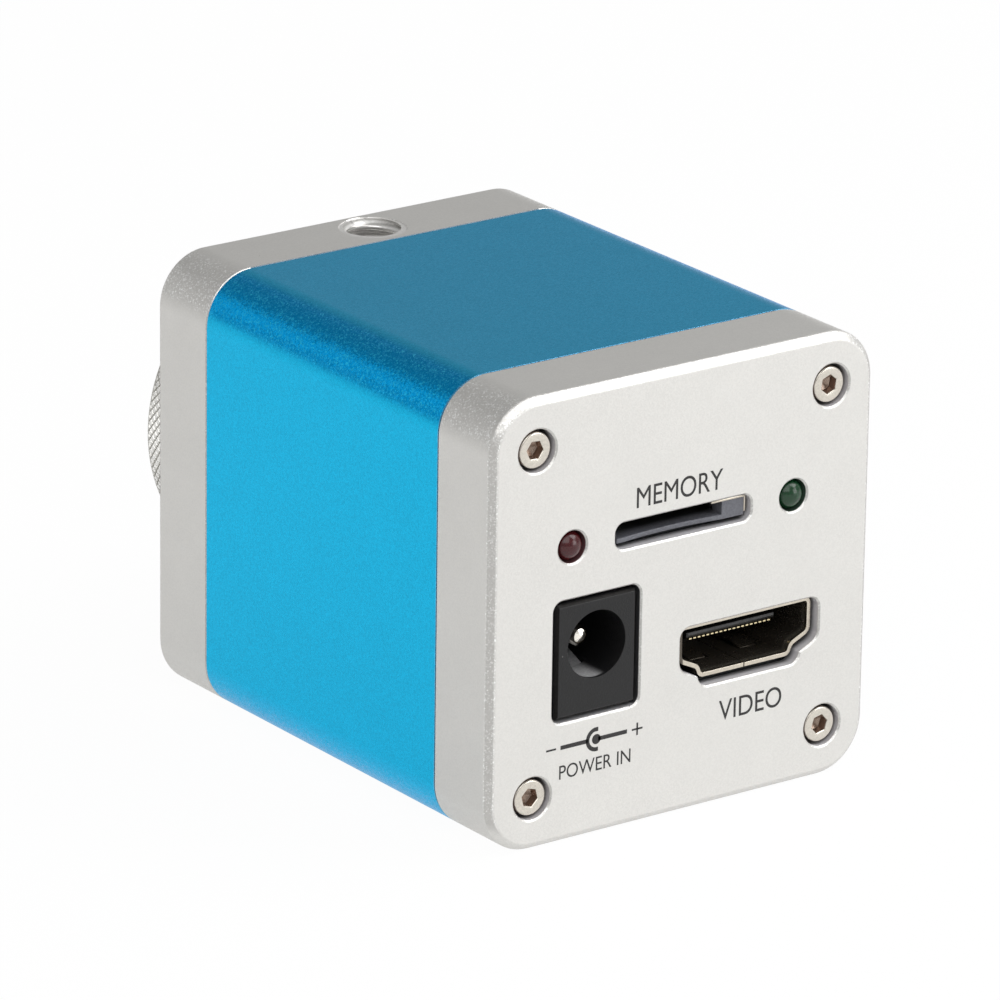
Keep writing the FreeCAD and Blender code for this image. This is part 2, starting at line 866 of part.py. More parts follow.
def make_video_socket_contacts():
    """Strips under the tongue, out through the back wall and down to the board."""
    low = tongue_bottom - contact_thickness
    bend_y = video_back_y + tongue_fit
    contacts = []
    for x in contact_xs:
        contacts.append(side_strip([
            (tongue_y + contact_front_gap, tongue_bottom, 0),
            (bend_y + contact_thickness, tongue_bottom, 0),
            (bend_y + contact_thickness, main_board_top + contact_thickness, 0),
            (bend_y + contact_foot, main_board_top + contact_thickness, 0),
            (bend_y + contact_foot, main_board_top, 0),
            (bend_y, main_board_top, 0),
            (bend_y, low, 0),
            (tongue_y + contact_front_gap, low, 0),
        ], x, contact_width))
    return Part.makeCompound(contacts)


# Memory card socket

def card_thumb_cut():
    """Round cutter that hollows the tray's front edge below the card."""
    chord = card_channel_width / 2
    radius = (chord ** 2 + card_front_bow ** 2) / (2 * card_front_bow)
    x = (card_left_x + card_right_x) / 2
    return rod_z(radius, card_board_top, card_floor_top, x, card_y + card_front_bow - radius)


def make_card_socket_base():
    """Moulded tray: card channel, slider channel beside it, corner post and a slotted rear wall."""
    tray = block(card_x - card_base_half, card_x + card_base_half, card_y, card_back_y,
                 card_board_top, card_roof)
    channel = block(card_left_x, card_right_x, card_y, card_rear_wall_y, card_floor_top, card_roof)
    slider_channel = block(card_right_x, card_side_x, card_y + card_post_length, card_rear_wall_y,
                           card_floor_top, card_roof)
    half = card_contact_width / 2 + slider_gap
    slots = [
        block(x - half, x + half, card_rear_wall_y, card_back_y, card_floor_top,
              card_floor_top + card_contact_sheet + slider_gap)
        for x in card_contact_xs
    ]
    entry_y = card_y + card_lead_in
    lead_in = block(card_x - card_base_half, card_left_x, card_y, entry_y, card_floor_top, card_roof)
    return cut_all(tray, [channel, slider_channel, lead_in, card_thumb_cut()] + slots)


def make_card_socket_cover():
    """Folded sheet over the tray, with a skirt down each side, cut back over the card's entry."""
    low = card_board_top + card_skirt_gap
    cover = block(card_x - card_half, card_x + card_half, card_y, card_back_y, low, card_top)
    inside = block(card_x - card_base_half, card_x + card_base_half, card_y, card_back_y, low, card_roof)
    entry_y = card_y + card_lead_in
    entry = block(card_x - card_half, card_right_x - card_cover_lap, card_y, entry_y, low, card_top)
    return cut_all(cover, [inside, entry])


def make_card_contacts():
    """Sprung strips on the tray's floor that leave through its rear wall to the board."""
    contacts = []
    sheet = card_contact_sheet
    floor = card_floor_top
    foot_y = card_back_y + slider_gap
    crest_y = card_contact_y + card_contact_nose
    for x in card_contact_xs:
        contacts.append(side_strip([
            (card_contact_y, floor + card_contact_rise - sheet, 0),
            (crest_y, floor + card_contact_rise, 0),
            (card_contact_y + card_contact_length / 2, floor, 0),
            (foot_y, floor, 0),
            (foot_y, card_board_top, 0),
            (foot_y + card_contact_foot, card_board_top, 0),
            (foot_y + card_contact_foot, card_board_top + sheet, 0),
            (foot_y + sheet, card_board_top + sheet, 0),
            (foot_y + sheet, floor + sheet, 0),
            (card_contact_y + card_contact_length / 2, floor + sheet, 0),
            (crest_y, floor + card_contact_rise + sheet, 0),
            (card_contact_y, floor + card_contact_rise, 0),
        ], x, card_contact_width))
    return Part.makeCompound(contacts)


def make_card_slider():
    """Block that rides in the side channel, with a hook for the end of the card."""
    low = card_floor_top + slider_gap
    high = card_roof - slider_gap
    body = block(slider_x, card_side_x - slider_gap, slider_y, slider_back_y, low, high)
    hook_y = slider_back_y - slider_hook_length
    hook = prism(outline([
        (slider_x, hook_y - slider_hook, 0),
        (slider_x - slider_hook, hook_y, 0),
        (slider_x - slider_hook, slider_back_y, 0),
        (slider_x, slider_back_y, 0),
    ], at_z(low)), Vector(0, 0, high - low))
    return join([body, hook])


def make_card_spring():
    """Coil of square wire between the slider and the tray's rear wall."""
    start_y = slider_back_y + slider_gap + spring_wire_radius
    end_y = card_rear_wall_y - slider_gap - spring_wire_radius
    coil_radius = spring_radius - spring_wire_radius
    middle_x = (slider_x + card_side_x) / 2
    middle_z = (card_floor_top + card_roof) / 2
    steps = spring_turns * spring_sides
    points = []
    for i in range(steps + 1):
        turn = radians(360 * i / spring_sides)
        points.append(Vector(middle_x + coil_radius * cos(turn), start_y + (end_y - start_y) * i / steps,
                             middle_z + coil_radius * sin(turn)))
    half = spring_wire_radius
    section = outline(rectangle(points[0].x, start_y, 2 * half, 2 * half, 0), at_z(points[0].z))
    return Part.makePolygon(points).makePipeShell([section], True, False, 1)


# Indicator lamps

def lamp(x):
    """Three millimetre lamp with a domed nose."""
    dome_y = lamp_tip_y + lamp_radius
    body = rod_y(lamp_radius, dome_y, lamp_back_y, x, lamp_z)
    return join([body, Part.makeSphere(lamp_radius, Vector(x, dome_y, lamp_z))])


def make_red_led():
    return lamp(-lamp_spread)


def make_green_led():
    return lamp(lamp_spread)


def lead(x):
    """Square wire from a lamp's base, bent down through the board."""
    half = lead_width / 2
    return side_strip([
        (lamp_back_y, lamp_z - half, 0),
        (lead_y - half, lamp_z - half, lead_bend - half),
        (lead_y - half, card_board_bottom - lead_tail, 0),
        (lead_y + half, card_board_bottom - lead_tail, 0),
        (lead_y + half, lamp_z + half, lead_bend + half),
        (lamp_back_y, lamp_z + half, 0),
    ], x, lead_width)


def make_led_leads():
    wires = []
    for side in (-1, 1):
        for offset in (-lead_pitch / 2, lead_pitch / 2):
            wires.append(lead(side * lamp_spread + offset))
    return Part.makeCompound(wires)


# Parts on the boards

def make_processor():
    half = processor_size / 2
    return block(processor_x - half, processor_x + half, processor_y, processor_y + processor_size,
                 main_board_top, main_board_top + processor_height)


def make_heat_sink():
    """Finned aluminium block on the processor."""
    base = main_board_top + processor_height
    left = processor_x - processor_size / 2
    front = processor_y + processor_size
    sink = block(left, left + processor_size, processor_y, front, base, base + sink_height)
    gap = (processor_size - sink_fin_count * sink_fin_thickness) / (sink_fin_count - 1)
    slots = []
    for i in range(sink_fin_count - 1):
        slot_x = left + sink_fin_thickness + i * (sink_fin_thickness + gap)
        slots.append(block(slot_x, slot_x + gap, processor_y, front, base + sink_base, base + sink_height))
    return cut_all(sink, slots)


def make_memory_chip():
    half = memory_width / 2
    return block(memory_x - half, memory_x + half, processor_y, processor_y + memory_length,
                 main_board_top, main_board_top + memory_height)


def make_capacitors():
    """Can capacitors in a row."""
    cans = []
    top = main_board_top + capacitor_height
    for i in range(capacitor_count):
        y = processor_y + capacitor_radius + i * (2 * capacitor_radius + part_gap)
        cans.append(rod_z(capacitor_radius, main_board_top, top, capacitor_x, y))
    return Part.makeCompound(cans)


def make_power_inductor():
    """Square ferrite with a round wound core."""
    half = inductor_size / 2
    floor = card_board_top
    top = floor + inductor_height
    pieces = [rod_z(inductor_size / 2 - inductor_lip, floor, top, inductor_x, inductor_y + half)]
    for low in (floor, top - inductor_plate):
        pieces.append(block(inductor_x - half, inductor_x + half, inductor_y, inductor_y + inductor_size,
                            low, low + inductor_plate))
    return join(pieces)


def make_board_header():
    """Plastic strips of the header, one on each board, with a hole for each pin."""
    half = header_rows * header_pitch / 2
    end_y = header_y + header_columns * header_pitch
    strips = []
    for low in (main_board_top, card_board_bottom - header_strip):
        strip = block(header_x - half, header_x + half, header_y, end_y, low, low + header_strip)
        strips.append(cut_all(strip, header_holes(low, low + header_strip)))
    return Part.makeCompound(strips)


def make_header_pins():
    low = main_board_bottom - header_pin_tail
    high = card_board_top + header_pin_tail
    return Part.makeCompound(header_posts(header_pin_width / 2, low, high))


def ribbon_slot(corners):
    width = ribbon_width + 2 * ribbon_slot_clearance
    return side_strip(corners, 0, width)


def make_main_connector():
    """Ribbon connector at the main board's front edge, its mouth forwards."""
    half = connector_width / 2
    body = block(-half, half, main_connector_y - connector_depth, main_connector_y,
                 main_board_top, main_board_top + connector_height)
    gap = ribbon_thickness / 2 + ribbon_slot_clearance
    depth_y = main_connector_y - ribbon_grip - ribbon_slot_clearance
    return body.cut(ribbon_slot([
        (depth_y, ribbon_z - gap, 0),
        (main_connector_y, ribbon_z - gap, 0),
        (main_connector_y, ribbon_z + gap, 0),
        (depth_y, ribbon_z + gap, 0),
    ]))


def make_sensor_connector():
    """Ribbon connector on the back of the sensor board, its mouth downwards."""
    half = connector_width / 2
    body = block(-half, half, sensor_board_back_y - connector_height, sensor_board_back_y,
                 sensor_connector_z, sensor_connector_z + connector_depth)
    gap = ribbon_thickness / 2 + ribbon_slot_clearance
    depth_z = sensor_connector_z + ribbon_grip + ribbon_slot_clearance
    return body.cut(ribbon_slot([
        (ribbon_y - gap, sensor_connector_z, 0),
        (ribbon_y + gap, sensor_connector_z, 0),
        (ribbon_y + gap, depth_z, 0),
        (ribbon_y - gap, depth_z, 0),
    ]))


def make_ribbon_cable():
    """Flat cable: down from the sensor board, round one bend and back into the main board's connector."""
    half = ribbon_thickness / 2
    top = sensor_connector_z + ribbon_grip
    end_y = main_connector_y - ribbon_grip
    return side_strip([
        (ribbon_y - half, top, 0),
        (ribbon_y + half, top, 0),
        (ribbon_y + half, ribbon_z - half, ribbon_bend + half),
        (end_y, ribbon_z - half, 0),
        (end_y, ribbon_z + half, 0),
        (ribbon_y - half, ribbon_z + half, ribbon_bend - half),
    ], 0, ribbon_width)


pieces = {
    "rear_block": make_rear_block,
    "body_sleeve": make_body_sleeve,
    "front_block": make_front_block,
    "rear_screws": make_rear_screws,
    "front_screws": make_front_screws,
    "mount_ring": make_mount_ring,
    "filter_glass": make_filter_glass,
    "image_sensor": make_image_sensor,
    "sensor_die": make_sensor_die,
    "sensor_window": make_sensor_window,
    "sensor_gasket": make_sensor_gasket,
    "sensor_board": make_sensor_board,
    "sensor_screws": make_sensor_screws,
    "main_board": make_main_board,
    "card_board": make_card_board,
    "dc_jack_housing": make_dc_jack_housing,
    "dc_jack_pin": make_dc_jack_pin,
    "dc_jack_spring": make_dc_jack_spring,
    "video_socket_shell": make_video_socket_shell,
    "video_socket_tongue": make_video_socket_tongue,
    "video_socket_contacts": make_video_socket_contacts,
    "card_socket_base": make_card_socket_base,
    "card_socket_cover": make_card_socket_cover,
    "card_contacts": make_card_contacts,
    "card_slider": make_card_slider,
    "card_spring": make_card_spring,
    "red_led": make_red_led,
    "green_led": make_green_led,
    "led_leads": make_led_leads,
    "processor": make_processor,
    "heat_sink": make_heat_sink,
    "memory_chip": make_memory_chip,
    "capacitors": make_capacitors,
    "power_inductor": make_power_inductor,
    "board_header": make_board_header,
    "header_pins": make_header_pins,
    "main_connector": make_main_connector,
    "sensor_connector": make_sensor_connector,
    "ribbon_cable": make_ribbon_cable,
}

os.makedirs("parts", exist_ok=True)
for name, make in pieces.items():
    make().exportStep(f"parts/{name}.step")
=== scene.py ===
"""Microscope camera: finishes, fine forms, markings and studio, laid out as an add-on."""
from math import cos, hypot, pi, radians, sin

import bpy
from mathutils import Matrix, Vector


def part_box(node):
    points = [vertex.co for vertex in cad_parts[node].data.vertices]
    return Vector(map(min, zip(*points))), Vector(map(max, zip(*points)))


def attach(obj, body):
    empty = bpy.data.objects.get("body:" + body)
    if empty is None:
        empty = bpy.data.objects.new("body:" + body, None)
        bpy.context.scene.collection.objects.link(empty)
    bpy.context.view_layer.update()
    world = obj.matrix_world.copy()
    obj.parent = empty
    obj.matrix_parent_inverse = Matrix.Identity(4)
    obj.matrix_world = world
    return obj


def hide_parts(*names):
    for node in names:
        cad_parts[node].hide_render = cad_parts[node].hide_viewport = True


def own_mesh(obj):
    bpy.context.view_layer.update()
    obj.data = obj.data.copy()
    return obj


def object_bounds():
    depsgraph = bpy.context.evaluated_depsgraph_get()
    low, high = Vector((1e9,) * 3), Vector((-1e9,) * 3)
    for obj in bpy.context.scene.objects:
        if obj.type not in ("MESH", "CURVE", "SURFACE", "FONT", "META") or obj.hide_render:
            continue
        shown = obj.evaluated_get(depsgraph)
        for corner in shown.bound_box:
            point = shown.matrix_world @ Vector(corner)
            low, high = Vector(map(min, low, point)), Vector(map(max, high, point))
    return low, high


bl_info = {
    "name": "Microscope Camera Finish",
    "version": (1, 0, 0),
    "blender": (4, 5, 0),
    "location": "View3D > Sidebar > Camera Finish",
    "description": "Gives the packed camera its finishes, fine forms, markings and studio",
    "category": "Object",
}

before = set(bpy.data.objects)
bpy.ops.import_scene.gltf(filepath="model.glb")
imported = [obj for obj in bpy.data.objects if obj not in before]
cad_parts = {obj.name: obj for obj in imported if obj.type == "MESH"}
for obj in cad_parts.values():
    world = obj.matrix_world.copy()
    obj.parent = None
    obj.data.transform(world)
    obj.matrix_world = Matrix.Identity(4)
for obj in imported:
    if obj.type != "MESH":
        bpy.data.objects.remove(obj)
CAD_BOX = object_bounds()

# Units, tolerances, and the turn that makes a flat primitive face along Y
MM = 0.001
WELD = 1e-6
SHARP = radians(30)
KNURL_SHARP = radians(20)
FLAT = radians(0.4)
ALONG_Y = (pi / 2, 0, 0)
ROUND_STEPS = 48

# Sizes repeated from the part
SCREW_PLACE = 16.5 * MM
HEAD_RADIUS = 1.7 * MM
HEAD_HEIGHT = 2.0 * MM
SHANK_RADIUS = 1.0 * MM
SHANK_LENGTH = 11.0 * MM
HEX_WIDTH = 1.6 * MM
HEX_DEPTH = 1.0 * MM
THREAD_RADIUS = 12.7 * MM
THREAD_LENGTH = 5.0 * MM
BAFFLE_RADIUS = 12.0 * MM
SPIGOT_RADIUS = 14.0 * MM
RING_CHAMFER = 0.25 * MM
SEAT_GAP = 0.05 * MM
TRIPOD_RADIUS = 3.175 * MM
TRIPOD_DEPTH = 6.0 * MM
TRIPOD_CHAMFER = 0.1 * MM
JACK_BORE_RADIUS = 3.2 * MM
JACK_PLACE = (-9.56 * MM, -3.1 * MM)

# Fine sizes of the scene alone
SOCKET_MOUTH = 1.02 * MM
SOCKET_DISH = 0.04 * MM
DRILL_POINT = HEX_WIDTH / 5
HEAD_ROUND = 0.16 * MM
SCREW_TURNS = (radians(-14), radians(-25), radians(18), radians(9))
RIM_WIDTH = 2.16 * MM
RIM_REACH = 4.0 * MM
KNURL_RELIEF = 0.08 * MM
THREAD_STEPS = 72
THREAD_SINK = 0.02 * MM
TRIPOD_START = 4.81 * MM
# Pitch of the painted bands round the tripod thread
PAINTED_BAND_PITCH = 0.35 * MM
MOUTH_CHAMFER = 0.3 * MM
DOME_STEPS = 10
CAPITAL_SHARE = 0.69
POLARITY_PLACE = (-9.45 * MM, -12.25 * MM)
POLARITY_STROKE = 0.4 * MM
POLARITY_DOT = 0.48 * MM
POLARITY_RING = 0.95 * MM

# Section of a thread, in shares of its pitch
THREAD_DEPTH = 0.541
THREAD_ROOT = 0.875
THREAD_CREST = 0.25
THREAD_ROUND = 0.09

# Where the masks of the finishes and of the room begin and end
FLAT_TILT = 0.16
CURVE_RANGE = (0.93, 0.995)
# Sparseness of the painted glints
PAINTED_GLINT_POWER = 5.0
MOTTLE_CELLS = 30.0
RAGGED_CELL = 0.3 * MM
LEAN_RISE = (0.35, 0.6)
LEAN_FALL = (0.8, 0.9)
UPRIGHT_RANGE = (0.2, 0.45)
BELOW_RANGE = (-0.25, -0.05)
LEFT_RANGE = (-0.7, -0.3)
NOSE_RANGE = (-0.97, -0.8)
JACK_REACH = (6.0 * MM, 8.0 * MM)
LAMP_REACH = 2.4 * MM
SHADE_RANGE = (0.5 * MM, 1.4 * MM)
SHADED_DEPTH = 2.5 * MM
JOINT_WIDTH = 0.09 * MM
SAWN_HIGHLIGHT_WIDTH = 0.04 * MM
SHELL_RANGE = (0.1 * MM, 1.0 * MM)
SHELL_LEFT_RANGE = (0.45 * MM, 0.6 * MM)
TRAY_RANGE = (1.0 * MM, 2.2 * MM)
# Where the painted pool of light lies in the power jack's bore
LIT_PATCH_RANGE = (0.2 * MM, 0.5 * MM)
LIT_PATCH_TURN = (0.6, 0.85)
LIT_PATCH_WAY = (-0.5, -0.87)
# Where the painted highlight crescent lies on the power pin
LIT_CRESCENT_RANGE = (0.74 * MM, 0.82 * MM)
LIT_CRESCENT_WAY = (-0.6, -0.8)
HORIZON_RANGE = (0.0, 0.1)
HIGH_RANGE = (0.45, 0.58)

# Grain of the finishes
TONE_RANGE = (0.8, 1.2)
ROUGHNESS_SWING = 0.05
LATHE_PITCH = 0.09 * MM
LINE_RANGE = (0.2, 0.8)
LINE_TONES = (0.88, 1.08)
MOULD_CELL = 0.16 * MM
MOULD_RELIEF = 0.01 * MM
DUST_SPACING = 1.1 * MM
DUST_SIZE = 0.05
TRACK_CELL = 1.6 * MM
TRACKS_IN_CELL = 3.0
TRACK_SHARE = 0.4
TRACK_RAISE = 4.0
TRACK_LIGHT = 1.9
# Painted shade on the silver's roundings, between its painted glints
CURVE_SHADE = 0.98

# Tints that aren't settings
SHADE_TINT = (0.03, 0.03, 0.032)
# Painted shade in the lamps' holes, tinted as a painted reflection of each lamp
RED_HOLE_PAINTED_SHADE = (0.16, 0.07, 0.075)
GREEN_HOLE_PAINTED_SHADE = (0.055, 0.10, 0.07)
BORE_TINT = (0.58, 0.57, 0.55)
# Painted highlight of the silver's glints
SILVER_PAINTED_GLINT = (1.0, 1.0, 0.99)
SILVER_PIT = (0.3, 0.28, 0.25)
# Painted shade along the sleeve's joints
JOINT_SHADE_TINT = (0.05, 0.09, 0.13)
# Painted highlight of the blue's glints
BLUE_PAINTED_GLINT = (0.02, 0.62, 1.0)
BLUE_PIT = (0.55, 0.75, 0.85)
BLUE_SHEEN = (0.8, 0.88, 1.0, 1.0)
# Paler line at the sleeve's sawn ends: bare metal and a painted highlight
SAWN_AND_HIGHLIGHT_TINT = (0.85, 0.86, 0.87)
# Painted shade and highlight of the bands round the tripod thread
THREAD_PAINTED_SHADE = (0.5, 0.49, 0.47)
THREAD_PAINTED_HIGHLIGHT = (0.9, 0.89, 0.87)
SHELL_SHADE = (0.06, 0.049, 0.038)
TRAY_SHADE = (0.004, 0.004, 0.004)
DUST_TINT = (0.35, 0.34, 0.33)
# Painted shade on the power jack's chamfers
JACK_CHAMFER_SHADE = (0.014, 0.0135, 0.013)
# Painted pool of light low in the power jack's bore
JACK_PAINTED_LIGHT = (0.3, 0.3, 0.305)
# Painted highlight and shade of the power pin
PIN_PAINTED_HIGHLIGHT = (0.92, 0.88, 0.8)
PIN_PAINTED_SHADE = (0.1, 0.09, 0.08)
FLOOR_TINT = (0.9, 0.9, 0.9, 1.0)

# Finish of each material slot of model.glb
SLOT_FINISH = {
    "silver_metal": "silver", "blue_metal": "blue", "ring_metal": "ring", "nickel": "nickel",
    "filter": "filter", "clear_glass": "window", "ceramic": "ceramic", "silicon": "silicon", "seal": "seal",
    "board": "board", "black_plastic": "black", "grey_plastic": "grey", "cream_plastic": "cream",
    "plated_pin": "nickel", "plated_shell": "plated", "spring_steel": "spring", "gold": "gold",
    "red_lens": "red", "green_lens": "green", "chip": "chip", "sink_metal": "sink", "can_metal": "can",
    "ferrite": "ferrite", "ribbon": "ribbon",
}

# Plain metals: material, colour or its setting, roughness, cell and relief in millimetres,
# then tones and metallic where they aren't the usual ones
METALS = {
    "nickel": ("nickel_plate", "nickel", 0.3, 0.2, 0.003),
    "plated": ("plated_sheet", "plated", 0.3, 0.25, 0.003),
    "gold": ("gold_flash", "gold", 0.25, 0.1, 0.002),
    "spring": ("spring_steel", (0.55, 0.54, 0.52), 0.35, 0.08, 0.002),
    "sink": ("black_anodised", (0.05, 0.05, 0.052), 0.5, 0.2, 0.006),
    "can": ("drawn_can", (0.72, 0.72, 0.71), 0.32, 0.3, 0.003),
    "silicon": ("silicon", (0.16, 0.13, 0.2), 0.12, 0.05, 0.0005),
    "contact": ("contact_steel", (0.42, 0.42, 0.43), 0.4, 0.08, 0.004, 0.3, 0.35),
}

# Plain mouldings: material, colour or its setting, roughness, cell and relief in millimetres,
# then a share of dust where there is some
MOULDINGS = {
    "black": ("black_moulding", "black", 0.42, 0.16, 0.01, 0.12),
    "cream": ("cream_moulding", (0.72, 0.66, 0.52), 0.5, 0.16, 0.01),
    "chip": ("chip_package", (0.02, 0.02, 0.021), 0.55, 0.12, 0.014),
    "ferrite": ("ferrite", (0.055, 0.053, 0.052), 0.6, 0.2, 0.02),
    "ceramic": ("ceramic", (0.24, 0.22, 0.21), 0.5, 0.2, 0.006),
    "seal": ("seal", (0.02, 0.02, 0.02), 0.8, 0.3, 0.02),
    "ribbon": ("ribbon_film", (0.78, 0.77, 0.73), 0.4, 0.4, 0.004),
    "ink": ("ink", "ink", 0.6, 0.12, 0.004),
}

# Words, name, place across and up the rear panel, setting of their height, and width
MARKINGS = (
    ("MEMORY", "card_marking", (-0.65 * MM, 9.0 * MM), "mark_height", 9.7 * MM),
    ("VIDEO", "video_marking", (8.1 * MM, -13.5 * MM), "mark_height", 7.2 * MM),
    ("POWER IN", "power_marking", (-9.55 * MM, -15.3 * MM), "small_mark_height", 8.0 * MM),
)

# Bars of the polarity sign: start and stop from its centre, share of the stroke, and whether it stands
POLARITY_BARS = (
    (-5.6 * MM, -4.5 * MM, 0.45, False),
    (-4.0 * MM, -0.95 * MM, 1.0, False),
    (0.2 * MM, 3.45 * MM, 1.0, False),
    (4.0 * MM, 5.2 * MM, 0.45, False),
    (4.0 * MM, 5.2 * MM, 0.45, True),
)

# Softboxes: name, direction from the object, distance and side in metres, and setting of the power
SOFTBOXES = (
    ("key", (0.56, -0.33, 0.76), 0.6, 0.42, "key_power"),
    ("front", (0.55, -0.75, 0.22), 1.6, 0.72, "front_power"),
    ("fill", (-0.35, -0.6, 0.72), 0.7, 0.6, "fill_power"),
    ("back", (-0.55, 0.75, 0.38), 0.7, 0.25, "back_power"),
)


# Settings that a user would change

def length(name, description, millimetres):
    return bpy.props.FloatProperty(
        name=name, description=description, default=millimetres * MM, min=0.0, precision=5, unit="LENGTH")


def colour(name, description, value):
    return bpy.props.FloatVectorProperty(
        name=name, description=description, default=value, min=0.0, max=1.0, size=3, subtype="COLOR")


def place(name, description, millimetres):
    return bpy.props.FloatVectorProperty(
        name=name, description=description, default=[value * MM for value in millimetres], size=3,
        precision=5, subtype="TRANSLATION")


def angle(name, description, degrees):
    return bpy.props.FloatProperty(
        name=name, description=description, default=radians(degrees), subtype="ANGLE")


def share(name, description, value):
    return bpy.props.FloatProperty(
        name=name, description=description, default=value, min=0.0, soft_max=1.0)


def power(name, description, watts):
    return bpy.props.FloatProperty(name=name, description=description, default=watts, unit="POWER")


class CameraColours(bpy.types.PropertyGroup):
    """Colours of the finishes."""
    silver: colour("Silver", "Clear anodised end blocks", (0.70, 0.69, 0.665))
    # Painted shade on the end blocks' upright chamfers
    chamfer_shade: colour("Chamfers", "Upright chamfers of the end blocks", (0.53, 0.52, 0.50))
    wall: colour("Cut walls", "Walls of the end blocks' cut-outs", (0.60, 0.59, 0.61))
    blue: colour("Blue", "Anodised sleeve", (0.008, 0.465, 0.76))
    # Painted shade that deepens the sleeve's upper roundings
    blue_rounding_shade: colour("Deep blue", "Roundings of the anodised sleeve", (0.0, 0.375, 0.82))
    ring: colour("Ring", "Bare turned aluminium of the lens ring", (0.88, 0.87, 0.84))
    # Painted shade at the bottom of the knurl's grooves
    groove_shade: colour("Knurl grooves", "Bottom of the knurl's grooves", (0.36, 0.35, 0.31))
    nickel: colour("Nickel", "Plated screws and pins", (0.66, 0.62, 0.55))
    # Brown painted shade inside the screws' sockets and down the heads' sides
    socket: colour("Screw sockets", "Inside of the screws' hexagon sockets", (0.30, 0.205, 0.155))
    plated: colour("Plated sheet", "Socket shells", (0.63, 0.575, 0.485))
    gold: colour("Gold", "Contacts", (0.90, 0.77, 0.48))
    black: colour("Black", "Moulded power jack and insulators", (0.006, 0.006, 0.0065))
    grey: colour("Grey", "Moulded card socket", (0.11, 0.113, 0.13))
    red: colour("Red lamp", "Tinted epoxy of the red lamp", (0.062, 0.004, 0.006))
    green: colour("Green lamp", "Tinted epoxy of the green lamp", (0.004, 0.044, 0.014))
    ink: colour("Ink", "Printed markings", (0.018, 0.0165, 0.0165))
    board: colour("Board", "Solder mask of the circuit boards", (0.010, 0.011, 0.012))


class CameraDetails(bpy.types.PropertyGroup):
    """Sizes of the fine forms."""
    edge_break: length("Edge break", "Chamfer of the cut-outs' edges", 0.16)
    face_round: length("Face rounding", "Rounding at both sides of the end blocks' chamfers", 0.18)
    joint_break: length("Joint break", "Rounding of the sleeve's ends", 0.05)
    block_break: length("Block break", "Chamfer of the blocks where they meet the sleeve", 0.18)
    sheet_round: length("Sheet rounding", "Rounding of sheet metal edges", 0.05)
    jack_round: length("Jack rounding", "Rounding of the power jack's edges", 0.08)
    pin_chamfer: length("Pin chamfer", "Chamfer of the power pin's nose", 0.5)
    knurl_pitch: length("Knurl pitch", "Width of a diamond round the lens ring", 0.95)
    knurl_rise: length("Knurl rise", "Width of a diamond along the lens ring", 0.8)
    knurl_depth: length("Knurl depth", "Height of the diamonds", 0.2)
    knurl_flank: length("Knurl flank", "Sloping width on each side of a diamond", 0.13)
    ring_band: length("Plain band", "Unknurled width at each end of the lens ring", 0.36)
    lens_pitch: length("Lens thread pitch", "32 threads to the inch", 25.4 / 32)
    tripod_pitch: length("Tripod thread pitch", "20 threads to the inch", 25.4 / 20)
    blast_cell: length("Blast cell", "Width of a facet of the blasted finish", 0.13)
    blast_tilt: share("Blast tilt", "How far the facets of the blasted finish lean", 0.2)
    mark_height: length("Marking height", "Height of the socket markings' capitals", 1.95)
    small_mark_height: length("Small marking height", "Height of the power marking's capitals", 1.33)
    ink_thickness: length("Ink thickness", "Thickness of the printed markings", 0.012)


class CameraStage(bpy.types.PropertyGroup):
    """View, floor and light."""
    aim: place("Aim", "Point on the view's axis", (-7.845, -46.099, 5.151))
    azimuth: angle("Azimuth", "View round the camera, 0 along +Y", -36.1756)
    elevation: angle("Elevation", "View above the horizon", 19.4577)
    roll: angle("Roll", "Turn of the view about its axis", 0.8161)
    distance: length("Distance", "From the aim to the viewpoint", 719.66)
    lens: bpy.props.FloatProperty(
        name="Lens", description="Focal length on a 36 mm sensor", default=284.34, subtype="DISTANCE_CAMERA")
    floor_size: length("Floor", "Side of the floor", 4000.0)
    floor_white: share("Floor white", "Share of plain white in the floor's look", 0.97)
    floor_gloss: share("Floor gloss", "Share of plain white in the floor's reflections", 0.75)
    horizon: share("Horizon", "Brightness of the room at the horizon", 0.6)
    low_room: share("Low room", "Brightness of the room above the horizon", 0.42)
    high_room: share("High room", "Brightness of the room overhead", 0.29)
    key_power: power("Key", "Softbox above on the right", 2.2)
    fill_power: power("Fill", "Softbox above the viewer", 2.26)
    front_power: power("Front", "Softbox low on the viewer's right", 6.0)
    back_power: power("Back", "Small softbox low behind on the left", 0.08)


# Mesh aids

def hold(piece):
    """Leaves edit mode and makes one piece, or nothing, the selected object."""
    if bpy.context.mode != "OBJECT":
        bpy.ops.object.mode_set(mode="OBJECT")
    bpy.ops.object.select_all(action="DESELECT")
    if piece:
        piece.select_set(True)
        bpy.context.view_layer.objects.active = piece


def edit(piece, kind="VERT", action="DESELECT"):
    """Enters edit mode on one piece with nothing, or all of it, selected."""
    hold(piece)
    bpy.ops.object.mode_set(mode="EDIT")
    bpy.ops.mesh.select_mode(type=kind)
    bpy.ops.mesh.select_all(action=action)


def ends(mesh, edge):
    return [mesh.vertices[i].co for i in edge.vertices]


def pick(piece, kind, numbers):
    """Selects the edges or faces of those numbers alone, and stays in edit mode."""
    edit(piece, kind)
    bpy.ops.object.mode_set(mode="OBJECT")
    parts = {"EDGE": piece.data.edges, "FACE": piece.data.polygons}[kind]
    for number in numbers:
        parts[number].select = True
    bpy.ops.object.mode_set(mode="EDIT")


def choose_edges(piece, test):
    """Selects the edges whose middle and span pass the test."""
    hold(piece)
    mesh = piece.data
    found = []
    for edge in mesh.edges:
        first, second = ends(mesh, edge)
        if test((first + second) / 2, second - first):
            found.append(edge.index)
    pick(piece, "EDGE", found)


